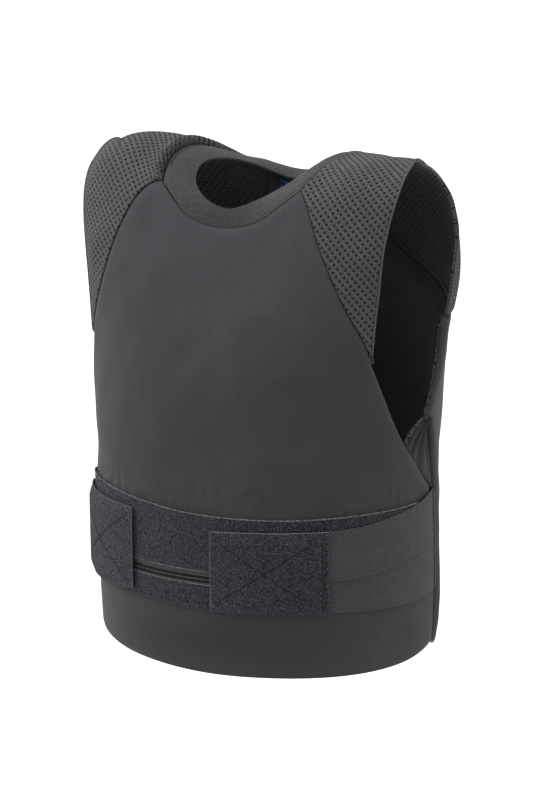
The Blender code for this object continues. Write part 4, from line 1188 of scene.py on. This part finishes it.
def sideWing(side, sign):
    s = wingForm
    run = np.linspace(s["top"], s["bottom"], 141)
    rows = np.stack([seamAcross(run), run], -1)
    reach = np.linspace(-s["lap"], s["reach"], 121)
    pattern = placesAt(rows[:, None, 0] - reach, rows[:, None, 1] + 0 * reach)
    slant = s["slant"] * (s["bottom"] - run) / (s["bottom"] - s["top"])
    pattern[..., 1] += slant[:, None] * np.maximum(reach, 0)
    gap = np.interp(reach, (0, s["sewnReach"]), (s["sewnGap"], s["gap"]))
    base = np.broadcast_to(innerFace(np.abs(reach)) - gap, pattern.shape[:2])
    fromCorner = pattern - rows[0]
    radius = np.linalg.norm(fromCorner, axis=-1)
    bearing = np.arctan2(fromCorner[..., 1], -fromCorner[..., 0])
    wave = 0.5 - 0.5 * np.cos(4 * s["folds"] * bearing)
    fade = smooth(radius / s["foldStart"]) * (1 - smooth(radius / s["foldReach"]))
    fade = fade * smooth(reach / s["seamReach"])
    # Clear of the front panel's edge the wing rises beside the back panel
    frontEdge = np.vstack([frontSide, diagonalEdge[1:]])
    past = pattern[..., 0] - np.interp(-pattern[..., 1], -frontEdge[:, 1], frontEdge[:, 0])
    rise = s["rise"] * between(reach, s["riseReach"]) * between(past, s["risePast"])
    face = base + rise - s["fold"] * wave * fade
    pattern = onSide(pattern, sign)
    outer, inner = raised(pattern, face, face - s["thick"])
    # Painted shade in the folds' valleys and over the whole inside
    shade = (1 - s["valleyShade"] * (wave * fade) ** 2, s["inside"] + 0 * face)
    piece = shell(f"sideWing.{side}", outer, inner, coverCloth, step=2, places=pattern, shade=shade)
    dress(piece, "cover_cloth", f"side_wing_{side}")
    cutSheet(piece)
    shown = np.flatnonzero(reach > ruchedForm["from"])[:ruchedForm["rows"]]
    ruchedEdge(side, sign, pattern[0][shown], face[0][shown])


sideWing("left", 1)
sideWing("right", -1)
print("wings")

tapeForm = {"stand": 0.0008, "thick": 0.0013, "round": 0.0006, "fuzz": 0.00015, "fuzzLength": 0.004,
            "fibres": 85, "fibre": 0.0014, "fibreRadius": 0.00016}


def tapeStrip(name, node, top, bottom, rows):
    s = tapeForm
    tops = splineThrough(belt, np.linspace(0, len(belt) - 1, 481))
    share = crowded(rows, 0.5)[:, None]
    run = (1 - share) * tops[:, bottom] + share * tops[:, top]
    pattern = placesAt(tops[:, 0], run)
    distance = distanceTo(pattern, np.vstack([pattern[0, ::8], pattern[-1, ::-8]]), closed=True)
    relief = s["fuzz"] * ripple(pattern[..., 0], pattern[..., 1], s["fuzzLength"], 51)
    face = s["stand"] + s["thick"] - edgeRound(distance, s["round"]) + relief
    outer, inner = raised(pattern, face, s["stand"])
    piece = dress(shell(name, outer, inner, loopTape, step=4, places=pattern), "loop_tape", node)
    fuzz = [fuzzParts(outer[:, 60:], rows * s["fibres"], s["fibre"], s["fibreRadius"], rows)]
    trim(f"{name}Fuzz", fuzz, paleFibre, "loop_tape")
    return piece, pattern


upperStrip = tapeStrip("loopStripUpper", "loop_strip_upper", 1, 2, 56)
lowerStrip = tapeStrip("loopStripLower", "loop_strip_lower", 3, 4, 24)


# One line of the belt: a column of its table, and how far below it
def beltLine(column, shift):
    rows = splineThrough(belt, np.linspace(0.02, len(belt) - 1.02, 400))
    return np.stack([rows[:, 0], rows[:, column] + shift], -1)


# Flat woven edge between two lines of the belt: how far each lies below a column, and how high it stands
def wovenEdge(name, column, first, last, stand, thick, finish):
    share = np.linspace(0, 1, 9)[:, None, None]
    pattern = (1 - share) * beltLine(column, last)[None] + share * beltLine(column, first)[None]
    across = np.minimum(share, 1 - share)[..., 0] * (last - first)
    flat = 0 * pattern[..., 0]
    outer, inner = raised(pattern, stand + thick - edgeRound(across, 0.0004) + flat, stand + flat)
    return dress(shell(name, outer, inner, finish, places=pattern), "loop_tape"), pattern


# A dark band under the gap between the strips: painted shadow
cutBand(*wovenEdge("beltGapShadow", 2, -0.0010, 0.0160, 0.0002, 0.0005, hookFace), "laid", ["front_panel"])
wovenEdge("selvedge.upper", 2, 0.0004, 0.0056, 0.0008, 0.0009, selvedge)
wovenEdge("selvedge.lower", 3, -0.0024, -0.0004, 0.0008, 0.0008, selvedge)


# A line of the belt in space, at a height off the form
def beltOff(column, shift, height, points):
    return lineOff(evenly(beltLine(column, shift), np.linspace(0, 1, points)), height)


# Cords along the belt: column, shift, height, radius, finish
beltCords = {
    "beltEdge.top": (1, -0.0002, 0.0019, 0.00080, paleThread),
    "beltEdge.upperLow": (2, 0.0002, 0.0020, 0.00055, paleThread),
    "beltEdge.middle": (2, 0.0092, 0.0012, 0.00095, selvedge),
    "beltEdge.lowerHigh": (3, -0.0002, 0.0020, 0.00055, paleThread),
    "beltEdge.bottom": (4, 0.0001, 0.0012, 0.00045, bindingCloth),
}
cordForm = {"points": 900, "wobble": 9.0, "sway": 0.00015, "uneven": 0.22}
for name, (column, shift, height, radius, finish) in beltCords.items():
    line, normals = beltOff(column, shift, height, cordForm["points"])
    wobble = ripple(np.arange(float(cordForm["points"])), 0.0, cordForm["wobble"], len(name))
    line = line + normals * (cordForm["sway"] * wobble)[:, None]
    cord = tubeParts(line, normals, radius * (1 + cordForm["uneven"] * wobble), sides=6)
    trim(name, [cord], finish, "loop_tape")

# Frayed threads along the belt: column, shift, height, count, length, radius, seed
frays = ((1, -0.0006, 0.0021, 700, 0.0032, 0.00019, 5), (2, 0.0002, 0.0022, 260, 0.0024, 0.00014, 6))
fray = [frayParts(*beltOff(column, shift, height, 1200), *fibres) for column, shift, height, *fibres in frays]
trim("beltFray", fray, paleThread, "loop_tape")
cutBand(*upperStrip, "laid", ["front_panel"],
        ["loopStripUpperFuzz", "selvedge.upper", "beltEdge.top", "beltEdge.upperLow", "beltEdge.middle",
         "beltFray"])
cutBand(*lowerStrip, "laid", ["front_panel"],
        ["loopStripLowerFuzz", "selvedge.lower", "beltEdge.lowerHigh", "beltEdge.bottom"])

# Of each tab: across at the free and the sewn end; runs of top and bottom, and the stand, at both
tabs = {
    "left": {"ends": (0.019, 0.147), "top": (0.466, 0.460), "bottom": (0.553, 0.550),
             "stand": (0.0027, 0.0066), "drop": 0.0023},
    "right": {"ends": (0.083, 0.216), "top": (0.452, 0.4458), "bottom": (0.543, 0.546),
              "stand": (0.0052, 0.0070), "drop": 0.0036},
}
bandForm = {"thick": 0.0014, "width": 0.055, "lap": 0.014, "round": 0.0006, "settle": -0.0005, "run": 0.47,
            "slantReach": 0.050, "rise": 0.0018, "riseFrom": 0.008, "riseWidth": 0.012, "overlap": 0.014,
            "overlapWidth": 0.010}
# How high an elastic stands: distance from the back panel's edge, stand
elasticStand = np.array([(0.0008, -0.0028), (0.0030, -0.0004), (0.0060, 0.0010), (0.0120, 0.0014),
                         (0.0200, 0.0020), (0.0320, 0.0027), (0.3000, 0.0027)])


# The upper band rises over the lower one, clear of the back panel's edge
def bandRise(distance):
    return bandForm["rise"] * smooth((distance - bandForm["riseFrom"]) / bandForm["riseWidth"])


def elasticBand(part, side, sign):
    s, upper = bandForm, part == "upper"
    end = float(seamAcross(s["run"]))
    across = np.linspace(tabs[side]["ends"][1] - s["lap"], end - elasticStand[0, 0], 241)
    _, topRun, bottomRun = splineThrough(strap, np.interp(across, strap[:, 0], np.arange(len(strap)))).T
    top = topRun if upper else bottomRun - s["width"]
    bottom = topRun + s["width"] if upper else bottomRun
    share = crowded(64, 0.5)[:, None]
    run = (1 - share) * bottom + share * top
    across = across + (seamAcross(run) - end) * smooth(1 + (across - end) / s["slantReach"])
    distance = seamAcross(run) - across
    stand = np.interp(distance, *elasticStand.T) + (s["settle"] if side == "right" else 0)
    if upper:
        lowerTop = bottomRun - s["width"]
        stand = stand + bandRise(distance) * smooth((run - lowerTop + s["overlap"]) / s["overlapWidth"])
    pattern = np.stack([sign * across, run], -1)
    rim = np.vstack([pattern[0, ::6], pattern[-1, ::-6]])
    fall = edgeRound(distanceTo(pattern, rim, closed=True), s["round"])
    outer, inner = raised(pattern, stand + s["thick"] - fall, stand + fall)
    piece = shell(f"elastic.{part}.{side}", outer, inner, elasticWeave, step=4, places=pattern)
    dress(piece, "elastic", f"elastic_{part}_{side}")
    cutSheet(piece)


# Pale strip over the elastics' turned ends beside the back panel, a painted highlight on the turn:
# distances from the seam, the runs between which its two lengths lie, and how much further off the lower
# one's edges are
endFoldHighlight = {"from": 0.0035, "to": 0.0085, "lift": 0.0004, "thick": 0.0009, "round": 0.0004,
           "runs": (0.433, 0.485, 0.5415), "shifts": (0.0010, 0.0005)}


def elasticEndFoldHighlight(side, sign):
    s = endFoldHighlight
    for k, part in enumerate(("upper", "lower")):
        run = np.linspace(s["runs"][k + 1], s["runs"][k], 61)[:, None]
        distance = np.linspace(s["from"] + k * s["shifts"][0], s["to"] + k * s["shifts"][1], 9)[None, :]
        pattern = placesAt(sign * (seamAcross(run) - distance), run + 0 * distance)
        stand = np.interp(distance, *elasticStand.T) + bandForm["thick"] + s["lift"]
        stand = stand + (1 - k) * bandRise(distance)
        fall = edgeRound(np.minimum(distance - distance[0, 0], distance[0, -1] - distance), s["round"])
        outer, inner = raised(pattern, stand + s["thick"] - fall, stand + fall - s["lift"])
        dress(shell(f"elasticEnd.{part}.{side}", outer, inner, bindingCloth, places=pattern), "elastic")


tabForm = {"thick": 0.0022, "round": 0.0009, "sewnShare": 0.8, "dropShare": 0.15,
           "fuzz": 0.00022, "fuzzLength": 0.0035, "fuzzEdge": 0.003, "fibres": 4200}
# Insets: the cross from a tab's free end, sewn end and long sides. Rows: two rows' distances from the sewn end.
stitchForm = {"groove": 0.0007, "width": 0.0011, "sink": 0.20, "pitch": 0.0030, "length": 0.0026,
              "radius": 0.00042, "insets": (0.006, 0.012, 0.008),
              "rows": (0.0065, 0.0035), "rowEnds": (0.03, 0.97)}
tabEdgeForm = {"sink": 0.0004, "radius": 0.00055, "uneven": 0.2, "wobble": 7.0}
hookFaceForm = {"inset": 0.0035, "sewn": 0.002, "top": 0.0012, "gap": 0.0003, "stand": 0.0024}


# The value at share u from the first of two ends to the other
def mixed(ends, u):
    return ends[0] + (ends[1] - ends[0]) * u


# Places and height of a tab's underside: u from the free end to the sewn one, v from bottom to top
def tabPlaces(side, sign, u, v):
    tab, s = tabs[side], tabForm
    sewn = smooth(u / s["sewnShare"])
    # The top and bottom edges lie lower, on one layer of elastic instead of two
    drop = tab["drop"] * sewn * (1 - smooth(np.minimum(v, 1 - v) / s["dropShare"]))
    stand = mixed(tab["stand"], sewn) - drop
    run = (1 - v) * mixed(tab["bottom"], u) + v * mixed(tab["top"], u)
    return placesAt(sign * mixed(tab["ends"], u), run), stand


# A stitched cross from corner to corner and two rows beside the sewn end: the depth to which they draw in the
# tab, and the stitches
def tabSeams(side, sign, pattern, wide, high):
    s = stitchForm
    freeInset, sewnInset, heightInset = s["insets"]
    u0, u1, v0 = freeInset / wide, 1 - sewnInset / wide, heightInset / high
    seams = [((u0, v0), (u1, 1 - v0)), ((u0, 1 - v0), (u1, v0))]
    seams += [((1 - row / wide, s["rowEnds"][0]), (1 - row / wide, s["rowEnds"][1])) for row in s["rows"]]
    groove, stitches, share = np.zeros(pattern.shape[:2]), [], np.linspace(0, 1, 160)
    for (ua, va), (ub, vb) in seams:
        line, height = tabPlaces(side, sign, ua + (ub - ua) * share, va + (vb - va) * share)
        groove = np.maximum(groove, bell(distanceTo(pattern, line[::16]), s["width"]))
        points, normals = lineOff(line, height + tabForm["thick"] - s["sink"] * s["groove"])
        stitches.append(stitchParts(points, normals, s["pitch"], s["length"], s["radius"]))
    return s["groove"] * groove, stitches


# Pale woven edge along the free end and the top
def tabEdge(side, sign):
    s = tabEdgeForm
    u = np.r_[np.full(200, 0.0), np.linspace(0, 1, 300)[1:]]
    v = np.r_[np.linspace(0, 1, 200), np.full(299, 1.0)]
    line, height = tabPlaces(side, sign, u, v)
    points, normals = lineOff(line, height + tabForm["thick"] - s["sink"])
    radius = s["radius"] * (1 + s["uneven"] * ripple(np.arange(float(len(u))), 0.0, s["wobble"], 3))
    edge = [tubeParts(points, normals, radius, sides=6)]
    # The left tab's edge is paler than the right's: painted light
    trim(f"tabEdge.{side}", edge, paleThread if side == "left" else bindingCloth, "hook_tab")


def hookTabPiece(side, sign):
    s, tab = tabForm, tabs[side]
    u, v = crowded(240, 0.5)[None, :], crowded(160, 0.5)[:, None]
    pattern, stand = tabPlaces(side, sign, u, v)
    distance = distanceTo(pattern, rimOf(pattern, 8, 8), closed=True)
    fall = edgeRound(distance, s["round"])
    relief = s["fuzz"] * ripple(pattern[..., 0], pattern[..., 1], s["fuzzLength"], 71)
    relief = relief * smooth(distance / s["fuzzEdge"])
    wide, high = tab["ends"][1] - tab["ends"][0], tab["bottom"][0] - tab["top"][0]
    groove, stitches = tabSeams(side, sign, pattern, wide, high)
    outer, inner = raised(pattern, stand + s["thick"] - fall + relief - groove, stand + fall)
    piece = shell(f"hookTab.{side}", outer, inner, hookTab, step=4, places=pattern)
    dress(piece, "hook_tab", f"hook_tab_{side}")
    trim(f"tabStitches.{side}", stitches, darkThread, "hook_tab")
    fuzz = [fuzzParts(outer, s["fibres"], tapeForm["fibre"], tapeForm["fibreRadius"], 17)]
    trim(f"tabFuzz.{side}", fuzz, paleFibre, "hook_tab")
    tabEdge(side, sign)
    cutSheet(piece)
    # The hook face below, pressed on the loop tape, with the elastics' ends sewn in it; its near-black colour
    # also paints the shadow line round the tab
    s = hookFaceForm
    u = np.linspace(s["inset"] / wide, 1 - s["sewn"] / wide, 61)[None, :]
    v = np.linspace(s["inset"] / high, 1 - s["top"] / high, 41)[:, None]
    pattern, stand = tabPlaces(side, sign, u, v)
    outer, inner = raised(pattern, stand - s["gap"], 0 * stand + s["stand"])
    piece = dress(shell(f"hookFace.{side}", outer, inner, hookFace, places=pattern), "hook_tab")
    cutSheet(piece)


for side, sign in (("left", 1), ("right", -1)):
    hookTabPiece(side, sign)
    elasticBand("upper", side, sign)
    elasticBand("lower", side, sign)
    elasticEndFoldHighlight(side, sign)
print("straps")

labelForm = {"size": (0.042, 0.026), "corner": (-0.0265, -0.0900), "drop": 0.34, "thick": 0.0008, "gap": 0.0009}


# The label's top edge hangs slanting from its corner, and its sides hang straight down
def neckLabel():
    s = labelForm
    cornerAcross, cornerRun = s["corner"]
    aside = np.linspace(0, 1, 41)[None, :] * s["size"][0]
    down = np.linspace(0, 1, 25)[:, None] * s["size"][1] + s["drop"] * aside
    pattern = placesAt(cornerAcross + aside, cornerRun - down)
    face = liningFace(pattern) - liningForm["thick"] - s["gap"]
    outer, inner = raised(pattern, face, face - s["thick"])
    places = placesAt(aside, -down)
    piece = shell("neckLabel", inner, outer, labelTape, places=places)
    dress(piece, "label", "neck_label")
    cutSheet(piece)


neckLabel()
print("label")

# The photo's camera, the floor and the lights
cameraForm = {"azimuth": 30.0, "elevation": 10.5, "distance": 3.8, "target": (0, 0, -0.285), "pixels": 3454,
              "picture": 810, "sensor": 36, "clip": 200}
# Name: azimuth, elevation, size, power
lamps = {"left": (-85, 20, 1.6, 25), "leftHigh": (-50, 45, 1.6, 25), "right": (110, 15, 1.6, 10),
         "above": (30, 80, 1.8, 27)}
lampForm = {"distance": 3.0, "target": (0, 0, -0.3)}


# A camera or lamp in its place, aimed at a target that sees it at an azimuth and an elevation
def aimed(name, data, azimuth, elevation, distance, target):
    turn, rise = math.radians(azimuth), math.radians(elevation)
    way = np.array([math.sin(turn) * math.cos(rise), -math.cos(turn) * math.cos(rise), math.sin(rise)])
    made = bpy.data.objects.new(name, data)
    made.location = np.array(target) + way * distance
    made.rotation_euler = (math.pi / 2 - rise, 0, turn)
    bpy.context.scene.collection.objects.link(made)
    return made


s = cameraForm
view = bpy.data.cameras.new("camera")
view.sensor_width, view.lens, view.clip_end = s["sensor"], s["sensor"] * s["pixels"] / s["picture"], s["clip"]
camera = aimed("camera", view, s["azimuth"], s["elevation"], s["distance"], s["target"])
bpy.context.scene.camera = camera
for name, (azimuth, elevation, size, power) in lamps.items():
    lamp = bpy.data.lights.new(name, "AREA")
    lamp.shape, lamp.size, lamp.energy = "DISK", size, power
    aimed(name, lamp, azimuth, elevation, lampForm["distance"], lampForm["target"])

studioLight = {"below": 0.34, "above": 0.60, "ends": (-0.8, 0.8)}
world = bpy.data.worlds.new("studio")
world.use_nodes = True
sky = world.node_tree
upwards = dotWith(sky, wire(sky, "TexCoord", {}), (0, 0, 1))
strength = shades(sky, upwards, studioLight["below"], studioLight["above"], *studioLight["ends"])
feed(sky, sky.nodes["Background"], {0: (1, 1, 1, 1), 1: strength})
bpy.context.scene.world = world
bpy.context.scene.view_settings.view_transform = "Standard"

floorForm = {"height": -1.6, "half": 60.0}
floorLook = {"Base Color": (0.9, 0.9, 0.9, 1), "Roughness": 0.9, "Emission Color": (1, 1, 1, 1),
             "Emission Strength": 0.8}
x, z = floorForm["half"], floorForm["height"]
floorPoints = np.array([(-x, -x, z), (x, -x, z), (x, x, z), (-x, x, z)])
floorPaint = bpy.data.materials.new("paleFloor")
floorPaint.use_nodes = True
feed(floorPaint.node_tree, floorPaint.node_tree.nodes["Principled BSDF"], floorLook)
paleFloor = meshObject("floor", floorPoints, [np.array([[0, 1, 2, 3]])], floorPaint)
paleFloor.visible_diffuse = False
